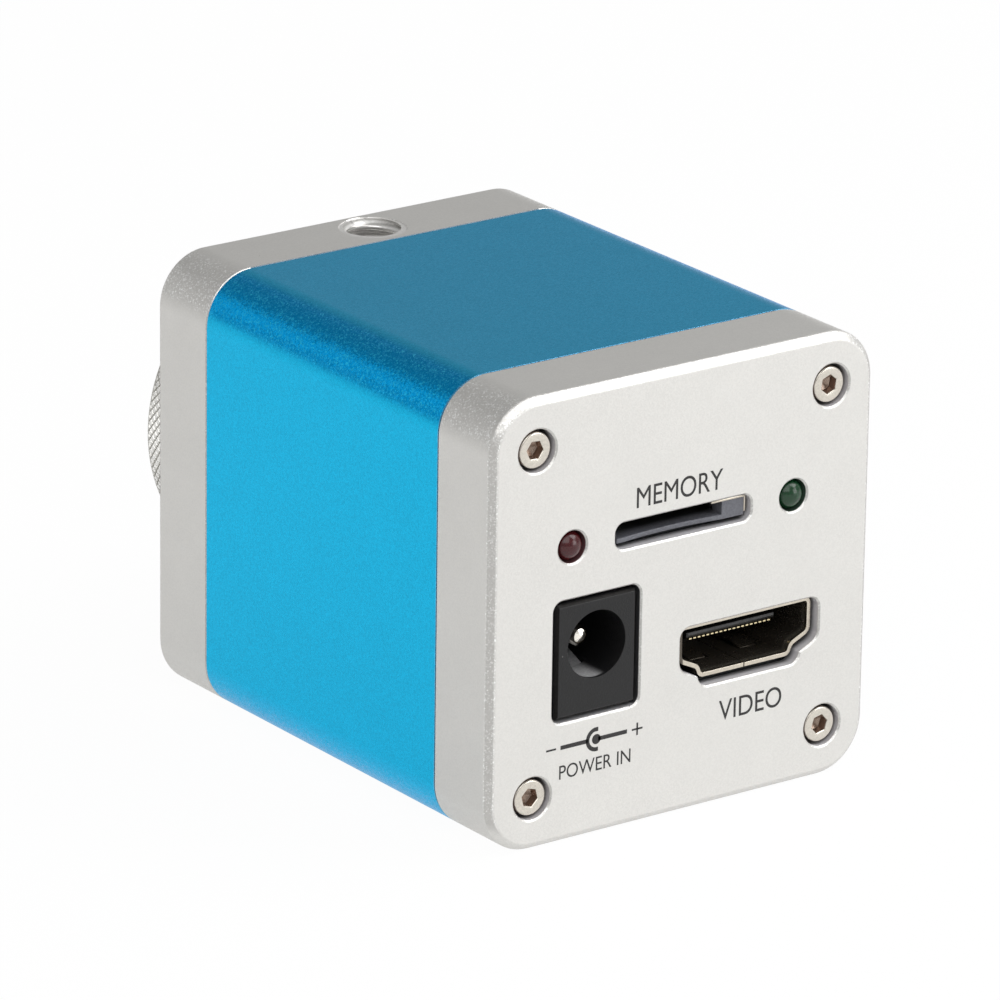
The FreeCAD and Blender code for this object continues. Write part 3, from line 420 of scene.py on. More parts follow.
def choose_faces(piece, test):
    """Selects the faces whose normal passes the test."""
    hold(piece)
    pick(piece, "FACE", [face.index for face in piece.data.polygons if test(face.normal)])


def merged_copy(node, name):
    """A piece with a node's form, its triangles merged into whole faces."""
    piece = bpy.data.objects.new(name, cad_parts[node].data.copy())
    bpy.context.scene.collection.objects.link(piece)
    hold(piece)
    bpy.ops.mesh.customdata_custom_splitnormals_clear()
    edit(piece, action="SELECT")
    bpy.ops.mesh.remove_doubles(threshold=WELD)
    bpy.ops.mesh.dissolve_limited(angle_limit=FLAT)
    hold(piece)
    return piece


def break_edges(piece, width, segments=2, test=None):
    """Rounds a piece's sharp edges, or those whose middle passes the test."""
    edit(piece, "EDGE")
    bpy.ops.mesh.edges_select_sharp(sharpness=SHARP)
    bpy.ops.object.mode_set(mode="OBJECT")
    mesh = piece.data
    found = [edge.index for edge in mesh.edges
             if edge.select and (not test or test(sum(ends(mesh, edge), Vector()) / 2))]
    pick(piece, "EDGE", found)
    bpy.ops.mesh.bevel(offset=width, offset_type="OFFSET", segments=segments, profile=0.5, affect="EDGES",
                       clamp_overlap=False)
    hold(piece)


def apply_modifier(piece, kind, **settings):
    hold(piece)
    modifier = piece.modifiers.new(kind.lower(), kind)
    for key, value in settings.items():
        setattr(modifier, key, value)
    bpy.ops.object.modifier_apply(modifier=modifier.name)


def smooth(piece):
    """Smooth shading that keeps wide faces flat and sharp edges sharp."""
    hold(piece)
    bpy.ops.object.shade_smooth_by_angle(angle=SHARP)
    apply_modifier(piece, "WEIGHTED_NORMAL", keep_sharp=True, weight=60)


def extrude(*travel):
    """Extrudes what is selected."""
    bpy.ops.mesh.extrude_region_move(TRANSFORM_OT_translate={"value": travel})


def carry_loop(profile, centre):
    """Draws the selected round loop on through (radius, station along Y) steps, from its own radius."""
    radius, station = profile[0]
    for next_radius, next_station in profile[1:]:
        extrude(0, next_station - station, 0)
        if next_radius != radius:
            scale = next_radius / radius
            bpy.ops.transform.resize(value=(scale, 1, scale), center_override=centre)
        radius, station = next_radius, next_station


def apply_place(piece):
    hold(piece)
    bpy.ops.object.transform_apply(location=True, rotation=True, scale=True)


def outward(piece):
    """Merges doubles and turns every face outwards."""
    edit(piece, action="SELECT")
    bpy.ops.mesh.remove_doubles(threshold=WELD)
    bpy.ops.mesh.normals_make_consistent(inside=False)
    hold(piece)


def discard(piece):
    hold(piece)
    bpy.ops.object.delete()


def named(name):
    """The object that an operator has just added, under its own name."""
    made = bpy.context.active_object
    made.name = name
    return made


def copied(piece, name, spot):
    """A copy of a piece with its own mesh, moved by a matrix."""
    hold(piece)
    bpy.ops.object.duplicate()
    made = named(name)
    made.matrix_world = spot
    apply_place(made)
    return made


def joined(pieces, name):
    """One piece from several."""
    hold(pieces[0])
    for piece in pieces:
        piece.select_set(True)
    bpy.ops.object.join()
    pieces[0].name = name
    return pieces[0]


def settle(piece, body, slot, look, *nodes):
    """Gives a finished piece its finish and body, and hides the nodes that it stands for; its slot is not
    used.
    """
    piece.data.materials.clear()
    piece.data.materials.append(finish(look))
    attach(piece, body)
    if nodes:
        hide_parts(*nodes)


def dressed(node, name, body, slot, look, *breaks):
    """A piece with a node's form and its edges broken; each break is what break_edges takes."""
    piece = merged_copy(node, name)
    for settings in breaks:
        break_edges(piece, *settings)
    smooth(piece)
    settle(piece, body, slot, look, node)
    return piece


def middle(node):
    low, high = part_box(node)
    return (low + high) / 2


# Node aids

def add(tree, kind, **settings):
    made = tree.nodes.new(kind)
    for key, value in settings.items():
        setattr(made, key, value)
    return made


def wire(tree, source, target):
    """Joins an output, or sets a plain value, to an input."""
    if isinstance(source, bpy.types.NodeSocket):
        tree.links.new(source, target)
    else:
        target.default_value = source


def sums(tree, operation, *values):
    """Output of a Math node."""
    made = add(tree, "ShaderNodeMath", operation=operation)
    for value, target in zip(values, made.inputs):
        wire(tree, value, target)
    return made.outputs[0]


def times(tree, first, *others):
    """Product of masks and values."""
    for other in others:
        first = sums(tree, "MULTIPLY", first, other)
    return first


def apart(tree, first, second):
    """How far two values are apart."""
    return sums(tree, "ABSOLUTE", sums(tree, "SUBTRACT", first, second))


def diagonal(tree, across, rise):
    """Distance that goes so far across and so far up."""
    return sums(tree, "SQRT", sums(tree, "ADD", times(tree, across, across), times(tree, rise, rise)))


def vector_sums(tree, operation, first, second=None):
    """Output of a Vector Math node."""
    made = add(tree, "ShaderNodeVectorMath", operation=operation)
    wire(tree, first, made.inputs[0])
    if second is not None:
        wire(tree, second, made.inputs["Scale" if operation == "SCALE" else 1])
    return made.outputs[0]


def spread(tree, value, low, high, to_low, to_high, smooth_step=False):
    """Output of a Map Range node."""
    made = add(tree, "ShaderNodeMapRange", interpolation_type="SMOOTHSTEP" if smooth_step else "LINEAR")
    for source, name in ((value, "Value"), (low, "From Min"), (high, "From Max"), (to_low, "To Min"),
                         (to_high, "To Max")):
        wire(tree, source, made.inputs[name])
    return made.outputs["Result"]


def rising(tree, value, low, high, top=1.0):
    """Mask that climbs smoothly from nothing at low to its top at high."""
    return spread(tree, value, low, high, 0.0, top, True)


def falling(tree, value, low, high, top=1.0, rest=0.0):
    """Mask that drops smoothly from its top at low to its rest at high."""
    return spread(tree, value, low, high, top, rest, True)


def between(tree, mask, outside, inside):
    """A value that goes from one to the other with a mask."""
    return spread(tree, mask, 0.0, 1.0, outside, inside)


def blend_colour(tree, factor, first, second, mode="MIX"):
    """Output of a colour Mix node."""
    made = add(tree, "ShaderNodeMix", data_type="RGBA", blend_type=mode)
    wire(tree, factor, made.inputs["Factor"])
    for source, target in ((first, made.inputs[6]), (second, made.inputs[7])):
        wire(tree, source if isinstance(source, bpy.types.NodeSocket) else (*source, 1.0), target)
    return made.outputs[2]


def layered(tree, base, *layers):
    """A colour with others laid over it in turn, each through its mask."""
    for mask, tint in layers:
        base = blend_colour(tree, mask, base, tint)
    return base


def object_place(tree):
    return add(tree, "ShaderNodeTexCoord").outputs["Object"]


def axes(tree, vector):
    """X, Y and Z of a vector output."""
    made = add(tree, "ShaderNodeSeparateXYZ")
    wire(tree, vector, made.inputs[0])
    return made.outputs


def place_axes(tree):
    """X, Y and Z of the point in the shared frame."""
    return axes(tree, object_place(tree))


def normal_axes(tree):
    """X, Y and Z of the way that the surface faces."""
    return axes(tree, add(tree, "ShaderNodeNewGeometry").outputs["Normal"])


def scaled_place(tree, size):
    """Object coordinates in units of a size."""
    return vector_sums(tree, "SCALE", object_place(tree), sums(tree, "DIVIDE", 1.0, size))


def noise(tree, place_output, detail=2.0):
    made = add(tree, "ShaderNodeTexNoise")
    wire(tree, place_output, made.inputs["Vector"])
    made.inputs["Scale"].default_value = 1.0
    made.inputs["Detail"].default_value = detail
    return made.outputs["Fac"]


def cells(tree, size, **settings):
    """Outputs of a Voronoi texture with cells of a size."""
    made = add(tree, "ShaderNodeTexVoronoi", **settings)
    wire(tree, scaled_place(tree, size), made.inputs["Vector"])
    made.inputs["Scale"].default_value = 1.0
    return made.outputs


def channels(tree, colour_output):
    """Red, green and blue of a colour output."""
    made = add(tree, "ShaderNodeSeparateColor")
    wire(tree, colour_output, made.inputs[0])
    return made.outputs


# Effects that several finishes share

def effect(name, inputs, outputs, vectors=()):
    """An empty shader group with float sockets, and vector outputs where named, and its two ends."""
    tree = bpy.data.node_groups.new(name, "ShaderNodeTree")
    for label, value in inputs.items():
        socket = tree.interface.new_socket(label, in_out="INPUT", socket_type="NodeSocketFloat")
        socket.default_value = value
    for label in outputs:
        tree.interface.new_socket(label, in_out="OUTPUT", socket_type="NodeSocketFloat")
    for label in vectors:
        tree.interface.new_socket(label, in_out="OUTPUT", socket_type="NodeSocketVector")
    return tree, add(tree, "NodeGroupInput").outputs, add(tree, "NodeGroupOutput").inputs


def make_blasted_grain():
    """Blasted or moulded grain: small facets, each with its own tone, over a slow mottle.

    The facets lean by the tilt on rounded and chamfered stretches, and only a little on flats along the axes.
    Curve masks those stretches, and the glint output a few facets on them, where the finishes paint
    highlights.
    """
    tree, given, result = effect(
        "blasted_grain", {"Cell": 0.13 * MM, "Spread": 0.2, "Mottle": 0.05, "Tilt": 0.0},
        ("Tone", "Height", "Curve", "Glint"), ("Normal",))
    facets = cells(tree, given["Cell"])
    parts = channels(tree, facets["Color"])
    slow = noise(tree, scaled_place(tree, times(tree, given["Cell"], MOTTLE_CELLS)))
    facet_tone = times(tree, sums(tree, "SUBTRACT", parts[0], 0.5), given["Spread"])
    slow_tone = times(tree, sums(tree, "SUBTRACT", slow, 0.5), given["Mottle"])
    wire(tree, sums(tree, "ADD", sums(tree, "ADD", facet_tone, 1.0), slow_tone), result["Tone"])
    fine = noise(tree, scaled_place(tree, given["Cell"]), 1.0)
    wire(tree, sums(tree, "ADD", facets["Distance"], fine), result["Height"])
    normal = add(tree, "ShaderNodeNewGeometry").outputs["Normal"]
    squareness = 0.0
    for side in axes(tree, normal):
        squareness = sums(tree, "MAXIMUM", squareness, sums(tree, "ABSOLUTE", side))
    curve = falling(tree, squareness, *CURVE_RANGE)
    wire(tree, curve, result["Curve"])
    wire(tree, times(tree, curve, sums(tree, "POWER", parts[1], PAINTED_GLINT_POWER)), result["Glint"])
    tilt = times(tree, given["Tilt"], between(tree, curve, FLAT_TILT, 1.0))
    lean = vector_sums(tree, "SUBTRACT", facets["Color"], (0.5, 0.5, 0.5))
    tilted = vector_sums(tree, "ADD", normal, vector_sums(tree, "SCALE", lean, tilt))
    wire(tree, vector_sums(tree, "NORMALIZE", tilted), result["Normal"])
    return tree


def make_specks():
    """Sparse small specks, as of dust or pits."""
    tree, given, result = effect("specks", {"Spacing": 2.0 * MM, "Size": 0.05}, ("Mask",))
    spots = cells(tree, given["Spacing"])
    reach = times(tree, given["Size"], channels(tree, spots["Color"])[0])
    wire(tree, sums(tree, "LESS_THAN", spots["Distance"], reach), result["Mask"])
    return tree


def make_cut_ends():
    """Mask of what lies within a width of two stations along Y, broken up by noise."""
    tree, given, result = effect("cut_ends", {"Low": 0.0, "High": 0.0, "Width": 0.1 * MM}, ("Mask",))
    along = place_axes(tree)["Y"]
    nearest = sums(tree, "MINIMUM", *[apart(tree, along, given[end]) for end in ("Low", "High")])
    ragged = times(tree, noise(tree, scaled_place(tree, RAGGED_CELL)), given["Width"], 2.0)
    wire(tree, sums(tree, "LESS_THAN", nearest, ragged), result["Mask"])
    return tree


def make_lathe_lines():
    """Fine tool marks round the optical axis, and the distance from it."""
    tree, given, result = effect("lathe_lines", {"Pitch": 0.1 * MM}, ("Line", "Radius"))
    here = place_axes(tree)
    radius = diagonal(tree, here["X"], here["Z"])
    wire(tree, radius, result["Radius"])
    row = add(tree, "ShaderNodeTexNoise", noise_dimensions="1D")
    wire(tree, sums(tree, "DIVIDE", sums(tree, "ADD", radius, here["Y"]), given["Pitch"]), row.inputs["W"])
    row.inputs["Scale"].default_value = 1.0
    wire(tree, row.outputs["Fac"], result["Line"])
    return tree


EFFECT_MAKERS = {
    "blasted_grain": make_blasted_grain, "specks": make_specks, "cut_ends": make_cut_ends,
    "lathe_lines": make_lathe_lines,
}
EFFECTS = {}


def use_effect(tree, name, **values):
    """Places the group of that name, made when it is first asked for, with its own values."""
    if name not in EFFECTS:
        EFFECTS[name] = EFFECT_MAKERS[name]()
    made = add(tree, "ShaderNodeGroup", node_tree=EFFECTS[name])
    for key, value in values.items():
        wire(tree, value, made.inputs[key])
    return made.outputs


def specks(tree, spacing, size, strength):
    """Mask of specks, at a strength."""
    return times(tree, use_effect(tree, "specks", Spacing=spacing, Size=size)["Mask"], strength)


def near_joints(tree, width):
    """Mask of what lies within a width of the sleeve's ends."""
    low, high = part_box("body_sleeve")
    return use_effect(tree, "cut_ends", Low=low.y, High=high.y, Width=width)["Mask"]


# Masks

def depth_from(tree, station):
    """Depth below a face that looks along -Y."""
    return sums(tree, "SUBTRACT", place_axes(tree)["Y"], station)


def depth_in_ends(tree, rear, front):
    """Depth below the nearer of two end faces across Y."""
    from_middle = apart(tree, place_axes(tree)["Y"], (rear + front) / 2)
    return sums(tree, "SUBTRACT", (front - rear) / 2, from_middle)


def offsets(tree, x, z):
    """How far a point lies across and above a place on the rear panel."""
    here = place_axes(tree)
    return sums(tree, "SUBTRACT", here["X"], x), sums(tree, "SUBTRACT", here["Z"], z)


def reach_in(tree, across, rise, way):
    """How far an offset goes in one way across the rear panel."""
    return sums(tree, "ADD", times(tree, across, way[0]), times(tree, rise, way[1]))


def inside_rim(tree):
    """Mask of what lies inside the end blocks' rounded outline."""
    here = place_axes(tree)
    past = [sums(tree, "SUBTRACT", sums(tree, "ABSOLUTE", here[axis]), SCREW_PLACE) for axis in ("X", "Z")]
    corner = diagonal(tree, *[sums(tree, "MAXIMUM", side, 0.0) for side in past])
    return sums(tree, "LESS_THAN", corner, RIM_REACH)


def on_flats(tree):
    """Mask of the stretches between the body's four roundings."""
    here = place_axes(tree)
    lesser = sums(tree, "MINIMUM", *[sums(tree, "ABSOLUTE", here[axis]) for axis in ("X", "Z")])
    return sums(tree, "LESS_THAN", lesser, SCREW_PLACE)


def leaning(tree):
    """Mask of what leans towards either end, as chamfers do and roundings along the body don't."""
    lean = sums(tree, "ABSOLUTE", normal_axes(tree)["Y"])
    return times(tree, rising(tree, lean, *LEAN_RISE), falling(tree, lean, *LEAN_FALL))


def upright(tree):
    """Mask of what faces neither up nor down."""
    return falling(tree, sums(tree, "ABSOLUTE", normal_axes(tree)["Z"]), *UPRIGHT_RANGE)


def not_below(tree):
    """Mask that leaves out what faces the floor."""
    return rising(tree, normal_axes(tree)["Z"], *BELOW_RANGE)


def round_lamp(tree, node):
    """Mask of the panel's hole for a lamp."""
    centre = middle(node)
    return sums(tree, "LESS_THAN", diagonal(tree, *offsets(tree, centre.x, centre.z)), LAMP_REACH)


def beside_jack(tree):
    """Mask of the walls that face left in the power jack's cut-out, where shade is painted."""
    near = [sums(tree, "LESS_THAN", sums(tree, "ABSOLUTE", side), reach)
            for side, reach in zip(offsets(tree, *JACK_PLACE), JACK_REACH)]
    return times(tree, *near, falling(tree, normal_axes(tree)["X"], *LEFT_RANGE))


def in_tripod_bore(tree):
    """Mask of the tripod thread's bore."""
    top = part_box("front_block")[1].z
    here = place_axes(tree)
    along = sums(tree, "SUBTRACT", here["Y"], middle("front_block").y)
    inside = sums(tree, "LESS_THAN", diagonal(tree, here["X"], along), TRIPOD_RADIUS + TRIPOD_CHAMFER / 2)
    return times(tree, inside, sums(tree, "GREATER_THAN", here["Z"], top - TRIPOD_DEPTH - MM))


# Finishes

def new_finish(name):
    made = bpy.data.materials.new(name)
    made.use_nodes = True
    return made, made.node_tree, made.node_tree.nodes["Principled BSDF"]


def grain_on(tree, shader, base, roughness, cell, relief, tones=0.1, mottle=0.05, tilt=0.0):
    """Puts grain into a shader's colour, roughness and relief; base is a colour or an output."""
    grain = use_effect(tree, "blasted_grain", Cell=cell, Spread=tones, Mottle=mottle, Tilt=tilt)
    toned = blend_colour(tree, 1.0, base, grain["Tone"], "MULTIPLY")
    wire(tree, toned, shader.inputs["Base Color"])
    swing = (roughness + ROUGHNESS_SWING, roughness - ROUGHNESS_SWING)
    wire(tree, spread(tree, grain["Tone"], *TONE_RANGE, *swing), shader.inputs["Roughness"])
    bump = add(tree, "ShaderNodeBump")
    bump.inputs["Distance"].default_value = relief
    wire(tree, grain["Height"], bump.inputs["Height"])
    wire(tree, grain["Normal"], bump.inputs["Normal"])
    wire(tree, bump.outputs[0], shader.inputs["Normal"])
    return grain, bump


def plate_grain(tree, shader, base, roughness, cell, relief, tones=0.1):
    """Grain of plated and drawn metal."""
    grain_on(tree, shader, base, roughness, cell, relief, tones, mottle=0.16)


def mould_grain(tree, shader, base, roughness, cell=MOULD_CELL, relief=MOULD_RELIEF):
    """Grain of a moulding."""
    grain_on(tree, shader, base, roughness, cell, relief, tones=0.25, mottle=0.2)


def cut_wall_colour(tree, colours, depth, bore):
    """Colour of cut walls: painted shade below the rear face and by the power jack, painted shade tinted as a
    painted reflection of each lamp round the lamps, and pale in the tripod bore, which the painted shade
    leaves out.
    """
    shaded = rising(tree, depth, *SHADE_RANGE, top=0.75)
    shaded = sums(tree, "MAXIMUM", shaded, times(tree, beside_jack(tree), 0.95))
    shaded = sums(tree, "MINIMUM", shaded, sums(tree, "LESS_THAN", depth, SHADED_DEPTH))
    behind = sums(tree, "LESS_THAN", place_axes(tree)["Y"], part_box("body_sleeve")[1].y - MM)
    return layered(
        tree, colours.wall,
        (times(tree, shaded, behind), SHADE_TINT),
        (times(tree, round_lamp(tree, "red_led"), behind), RED_HOLE_PAINTED_SHADE),
        (times(tree, round_lamp(tree, "green_led"), behind), GREEN_HOLE_PAINTED_SHADE),
        (bore, BORE_TINT))


def joint_shade(tree, details):
    """Mask of painted shade along the sleeve's joints, in the seam and on the blocks' chamfers beside it,
    broken into specks, fainter on upright sides.
    """
    edge = times(tree, near_joints(tree, details.block_break * 3), leaning(tree))
    joint = sums(tree, "MAXIMUM", near_joints(tree, JOINT_WIDTH), edge)
    return times(tree, joint, on_flats(tree), between(tree, upright(tree), 0.9, 0.15))


def silver_finish(colours, details):
    """Blasted, clear anodised aluminium, duller in the cut-outs; painted shade darkens its upright chamfers,
    its roundings a little, the cut-outs' deeper walls and the joints, and painted glints lie on its
    roundings.
    """
    made, tree, shader = new_finish("silver_anodised")
    depth = depth_in_ends(tree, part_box("rear_block")[0].y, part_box("front_block")[1].y)
    below = rising(tree, depth, details.edge_break, details.edge_break * 1.6)
    bore = in_tripod_bore(tree)
    wall = sums(tree, "MAXIMUM", times(tree, below, inside_rim(tree)), bore)
    grain = use_effect(tree, "blasted_grain", Cell=details.blast_cell)
    chamfer_shade = times(tree, grain["Curve"], leaning(tree), upright(tree))
    base = layered(
        tree, colours.silver,
        (grain["Curve"], [channel * CURVE_SHADE for channel in colours.silver]),
        (chamfer_shade, colours.chamfer_shade),
        (times(tree, grain["Glint"], not_below(tree), between(tree, chamfer_shade, 1.0, 0.45)), SILVER_PAINTED_GLINT),
        (joint_shade(tree, details), JOINT_SHADE_TINT),
        (specks(tree, spacing=4.5 * MM, size=0.022, strength=0.45), SILVER_PIT),
        (wall, cut_wall_colour(tree, colours, depth, bore)))
    grain_on(tree, shader, base, roughness=0.5, cell=details.blast_cell, relief=0.004 * MM, tones=0.05,
             tilt=between(tree, wall, details.blast_tilt, 0.0))
    wire(tree, between(tree, wall, 0.85, 0.3), shader.inputs["Metallic"])
    return made


def blue_finish(colours, details):
    """Blasted, blue anodised aluminium, with painted shade deepening its upper roundings and painted glints
    on them, and paler where it was sawn to length, as bare metal with a painted highlight.
    """
    made, tree, shader = new_finish("blue_anodised")
    grain = use_effect(tree, "blasted_grain", Cell=details.blast_cell)
    upper = not_below(tree)
    base = layered(
        tree, colours.blue,
        (times(tree, grain["Curve"], upper), colours.blue_rounding_shade),
        (times(tree, grain["Glint"], upper), BLUE_PAINTED_GLINT),
        (times(tree, near_joints(tree, SAWN_HIGHLIGHT_WIDTH), 0.2), SAWN_AND_HIGHLIGHT_TINT),
        (specks(tree, spacing=6.0 * MM, size=0.018, strength=0.5), BLUE_PIT))
    grain_on(tree, shader, base, roughness=0.28, cell=details.blast_cell, relief=0.002 * MM, tones=0.2,
             tilt=details.blast_tilt)
    shader.inputs["Metallic"].default_value = 1.0
    shader.inputs["Specular Tint"].default_value = BLUE_SHEEN
    return made


def ring_finish(colours, details):
    """Bare turned aluminium with tool marks, and painted shade at the bottom of the knurl."""
    made, tree, shader = new_finish("turned_aluminium")
    lathe = use_effect(tree, "lathe_lines", Pitch=LATHE_PITCH)
    tone = spread(tree, lathe["Line"], *LINE_RANGE, *LINE_TONES)
    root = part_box("mount_ring")[1].x - details.knurl_depth
    groove_shade = spread(tree, lathe["Radius"], root, root + details.knurl_depth * 0.8, 1.0, 0.0)
    groove_shade = times(tree, groove_shade, sums(tree, "GREATER_THAN", lathe["Radius"], root - WELD * 20))
    base = blend_colour(tree, 1.0, colours.ring, tone, "MULTIPLY")
    base = blend_colour(tree, groove_shade, base, colours.groove_shade)
    grain_on(tree, shader, base, roughness=0.28, cell=details.blast_cell, relief=0.004 * MM, tones=0.08)
    shader.inputs["Metallic"].default_value = 0.65
    return made


def thread_finish():
    """Bare aluminium with painted bands of highlight and shade round a thread, counted from its mouth."""
    made, tree, shader = new_finish("cut_thread")
    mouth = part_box("front_block")[1].z - TRIPOD_CHAMFER
    height = sums(tree, "SUBTRACT", place_axes(tree)["Z"], mouth)
    wave = sums(tree, "SINE", times(tree, height, 2 * pi / PAINTED_BAND_PITCH))
    base = blend_colour(tree, spread(tree, wave, -1.0, 1.0, 0.0, 1.0), THREAD_PAINTED_SHADE, THREAD_PAINTED_HIGHLIGHT)
    grain_on(tree, shader, base, roughness=0.3, cell=0.1 * MM, relief=0.004 * MM, tones=0.2)
    shader.inputs["Metallic"].default_value = 0.6
    return made


def screw_finish(colours):
    """Nickel plate, with brown painted shade on the sockets' walls and down the sides of the heads."""
    made, tree, shader = new_finish("cap_screw_nickel")
    depth = depth_in_ends(tree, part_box("rear_screws")[0].y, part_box("front_screws")[1].y)
    inside = times(tree, rising(tree, depth, SOCKET_DISH * 2, SOCKET_DISH * 5),
                   falling(tree, depth, HEX_DEPTH * 0.96, HEX_DEPTH * 0.99, rest=0.8))
    base = blend_colour(tree, inside, colours.nickel, colours.socket)
    plate_grain(tree, shader, base, roughness=0.26, cell=0.2 * MM, relief=0.003 * MM)
    wire(tree, between(tree, inside, 1.0, 0.7), shader.inputs["Metallic"])
    return made


def shell_finish(colours):
    """Plated sheet of the video socket, with painted shade that darkens it from its rim inwards and down its
    left side.
    """
    made, tree, shader = new_finish("video_shell_plate")
    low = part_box("video_socket_shell")[0]
    inside = rising(tree, depth_from(tree, low.y), *SHELL_RANGE, top=0.92)
    left = falling(tree, place_axes(tree)["X"], *[low.x + step for step in SHELL_LEFT_RANGE], top=0.9)
    inside = sums(tree, "MAXIMUM", inside, left)
    base = blend_colour(tree, inside, colours.plated, SHELL_SHADE)
    plate_grain(tree, shader, base, roughness=0.28, cell=0.25 * MM, relief=0.003 * MM)
    wire(tree, between(tree, inside, 1.0, 0.8), shader.inputs["Metallic"])
    return made


def metal_finish(name, base, roughness, cell, relief, tones=0.1, metallic=1.0):
    """Plated, drawn or cut metal with a faint grain, whose sizes are in millimetres."""
    made, tree, shader = new_finish(name)
    plate_grain(tree, shader, base, roughness, cell * MM, relief * MM, tones)
    shader.inputs["Metallic"].default_value = metallic
    return made


def moulded_finish(name, base, roughness, cell, relief, dust=0.0):
    """Moulded plastic with a fine grain, whose sizes are in millimetres, and a share of dust."""
    made, tree, shader = new_finish(name)
    dusted = blend_colour(tree, specks(tree, DUST_SPACING, DUST_SIZE, dust), base, DUST_TINT)
    mould_grain(tree, shader, dusted, roughness, cell * MM, relief * MM)
    return made


def tray_finish(colours):
    """Moulding of the card socket, with painted shade that darkens it from its mouth inwards."""
    made, tree, shader = new_finish("grey_moulding")
    depth = depth_from(tree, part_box("card_socket_base")[0].y)
    inside = rising(tree, depth, *TRAY_RANGE, top=0.95)
    mould_grain(tree, shader, blend_colour(tree, inside, colours.grey, TRAY_SHADE), roughness=0.4)
    return made


def jack_finish(colours):
    """Black moulding of the power jack, with painted shade on its chamfers and a painted pool of light, grey,
    low in its bore.
    """
    made, tree, shader = new_finish("jack_moulding")
    grain = use_effect(tree, "blasted_grain", Cell=MOULD_CELL)
    chamfer_shade = times(tree, grain["Curve"], leaning(tree))
    across, rise = offsets(tree, *JACK_PLACE)
    radius = diagonal(tree, across, rise)
    turned = sums(tree, "DIVIDE", reach_in(tree, across, rise, LIT_PATCH_WAY), radius)
    depth = depth_from(tree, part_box("dc_jack_housing")[0].y)
    lit_patch = times(tree, rising(tree, turned, *LIT_PATCH_TURN),
                   sums(tree, "LESS_THAN", radius, JACK_BORE_RADIUS + WELD * 50),
                   rising(tree, depth, *LIT_PATCH_RANGE))
    base = layered(
        tree, colours.black,
        (specks(tree, DUST_SPACING, DUST_SIZE, strength=0.5), DUST_TINT),
        (chamfer_shade, JACK_CHAMFER_SHADE),
        (lit_patch, JACK_PAINTED_LIGHT))
    mould_grain(tree, shader, base, roughness=0.42)
    wire(tree, chamfer_shade, shader.inputs["Metallic"])
    shader.inputs["Specular IOR Level"].default_value = 0.37
    return made


def pin_finish():
    """Nickel plate, with a painted highlight on the pin's nose and in a crescent at its lower left, and
    painted shade behind.
    """
    made, tree, shader = new_finish("pin_nickel")
    lower_left = reach_in(tree, *offsets(tree, *JACK_PLACE), LIT_CRESCENT_WAY)
    behind = times(tree, rising(tree, normal_axes(tree)["Y"], *NOSE_RANGE),
                   falling(tree, lower_left, *LIT_CRESCENT_RANGE, rest=0.1))
    base = blend_colour(tree, behind, PIN_PAINTED_HIGHLIGHT, PIN_PAINTED_SHADE)
    grain_on(tree, shader, base, roughness=0.22, cell=0.2 * MM, relief=0.004 * MM, tones=0.15, mottle=0.2)
    shader.inputs["Metallic"].default_value = 1.0
    return made


def lamp_finish(name, base):
    """Tinted clear epoxy."""
    made, tree, shader = new_finish(name)
    grain_on(tree, shader, base, roughness=0.22, cell=0.4 * MM, relief=0.001 * MM, mottle=0.1)
    shader.inputs["IOR"].default_value = 1.5
    shader.inputs["Specular IOR Level"].default_value = 0.5
    shader.inputs["Transmission Weight"].default_value = 0.25
    return made


def glass_finish(name, base):
    """Coated flat glass with a trace of haze."""
    made, tree, shader = new_finish(name)
    grain_on(tree, shader, base, roughness=0.06, cell=2.0 * MM, relief=0.0005 * MM, tones=0.04, mottle=0.04)
    shader.inputs["Transmission Weight"].default_value = 1.0
    shader.inputs["IOR"].default_value = 1.5
    return made


def board_finish(colours):
    """Solder mask over copper tracks, which show as lighter, raised lines."""
    made, tree, shader = new_finish("solder_mask")
    runs = cells(tree, TRACK_CELL, distance="MANHATTAN", feature="F2")
    steps = sums(tree, "FRACT", times(tree, runs["Distance"], TRACKS_IN_CELL))
    track = sums(tree, "LESS_THAN", steps, TRACK_SHARE)
    base = blend_colour(tree, track, colours.board, [channel * TRACK_LIGHT for channel in colours.board])
    grain, bump = grain_on(tree, shader, base, roughness=0.32, cell=0.3 * MM, relief=0.004 * MM)
    wire(tree, sums(tree, "ADD", times(tree, track, TRACK_RAISE), grain["Height"]), bump.inputs["Height"])
    return made


FINISHES = {}


def made_finish(name):
    """A new material for the finish of that name."""
    colours = bpy.context.scene.camera_colours
    details = bpy.context.scene.camera_details
    for table, maker in ((METALS, metal_finish), (MOULDINGS, moulded_finish)):
        if name in table:
            material, base, *grain = table[name]
            return maker(material, getattr(colours, base) if isinstance(base, str) else base, *grain)
    makers = {
        "silver": lambda: silver_finish(colours, details),
        "blue": lambda: blue_finish(colours, details),
        "ring": lambda: ring_finish(colours, details),
        "thread": thread_finish,
        "screw": lambda: screw_finish(colours),
        "shell": lambda: shell_finish(colours),
        "grey": lambda: tray_finish(colours),
        "jack": lambda: jack_finish(colours),
        "pin": pin_finish,
        "red": lambda: lamp_finish("red_epoxy", colours.red),
        "green": lambda: lamp_finish("green_epoxy", colours.green),
        "filter": lambda: glass_finish("filter_glass", (0.72, 0.93, 0.95)),
        "window": lambda: glass_finish("window_glass", (0.97, 0.98, 0.98)),
        "board": lambda: board_finish(colours),
    }
    return makers[name]()


def finish(name):
    """The finish of that name, made when it is first asked for."""
    if name not in FINISHES:
        FINISHES[name] = made_finish(name)
    return FINISHES[name]


# Body

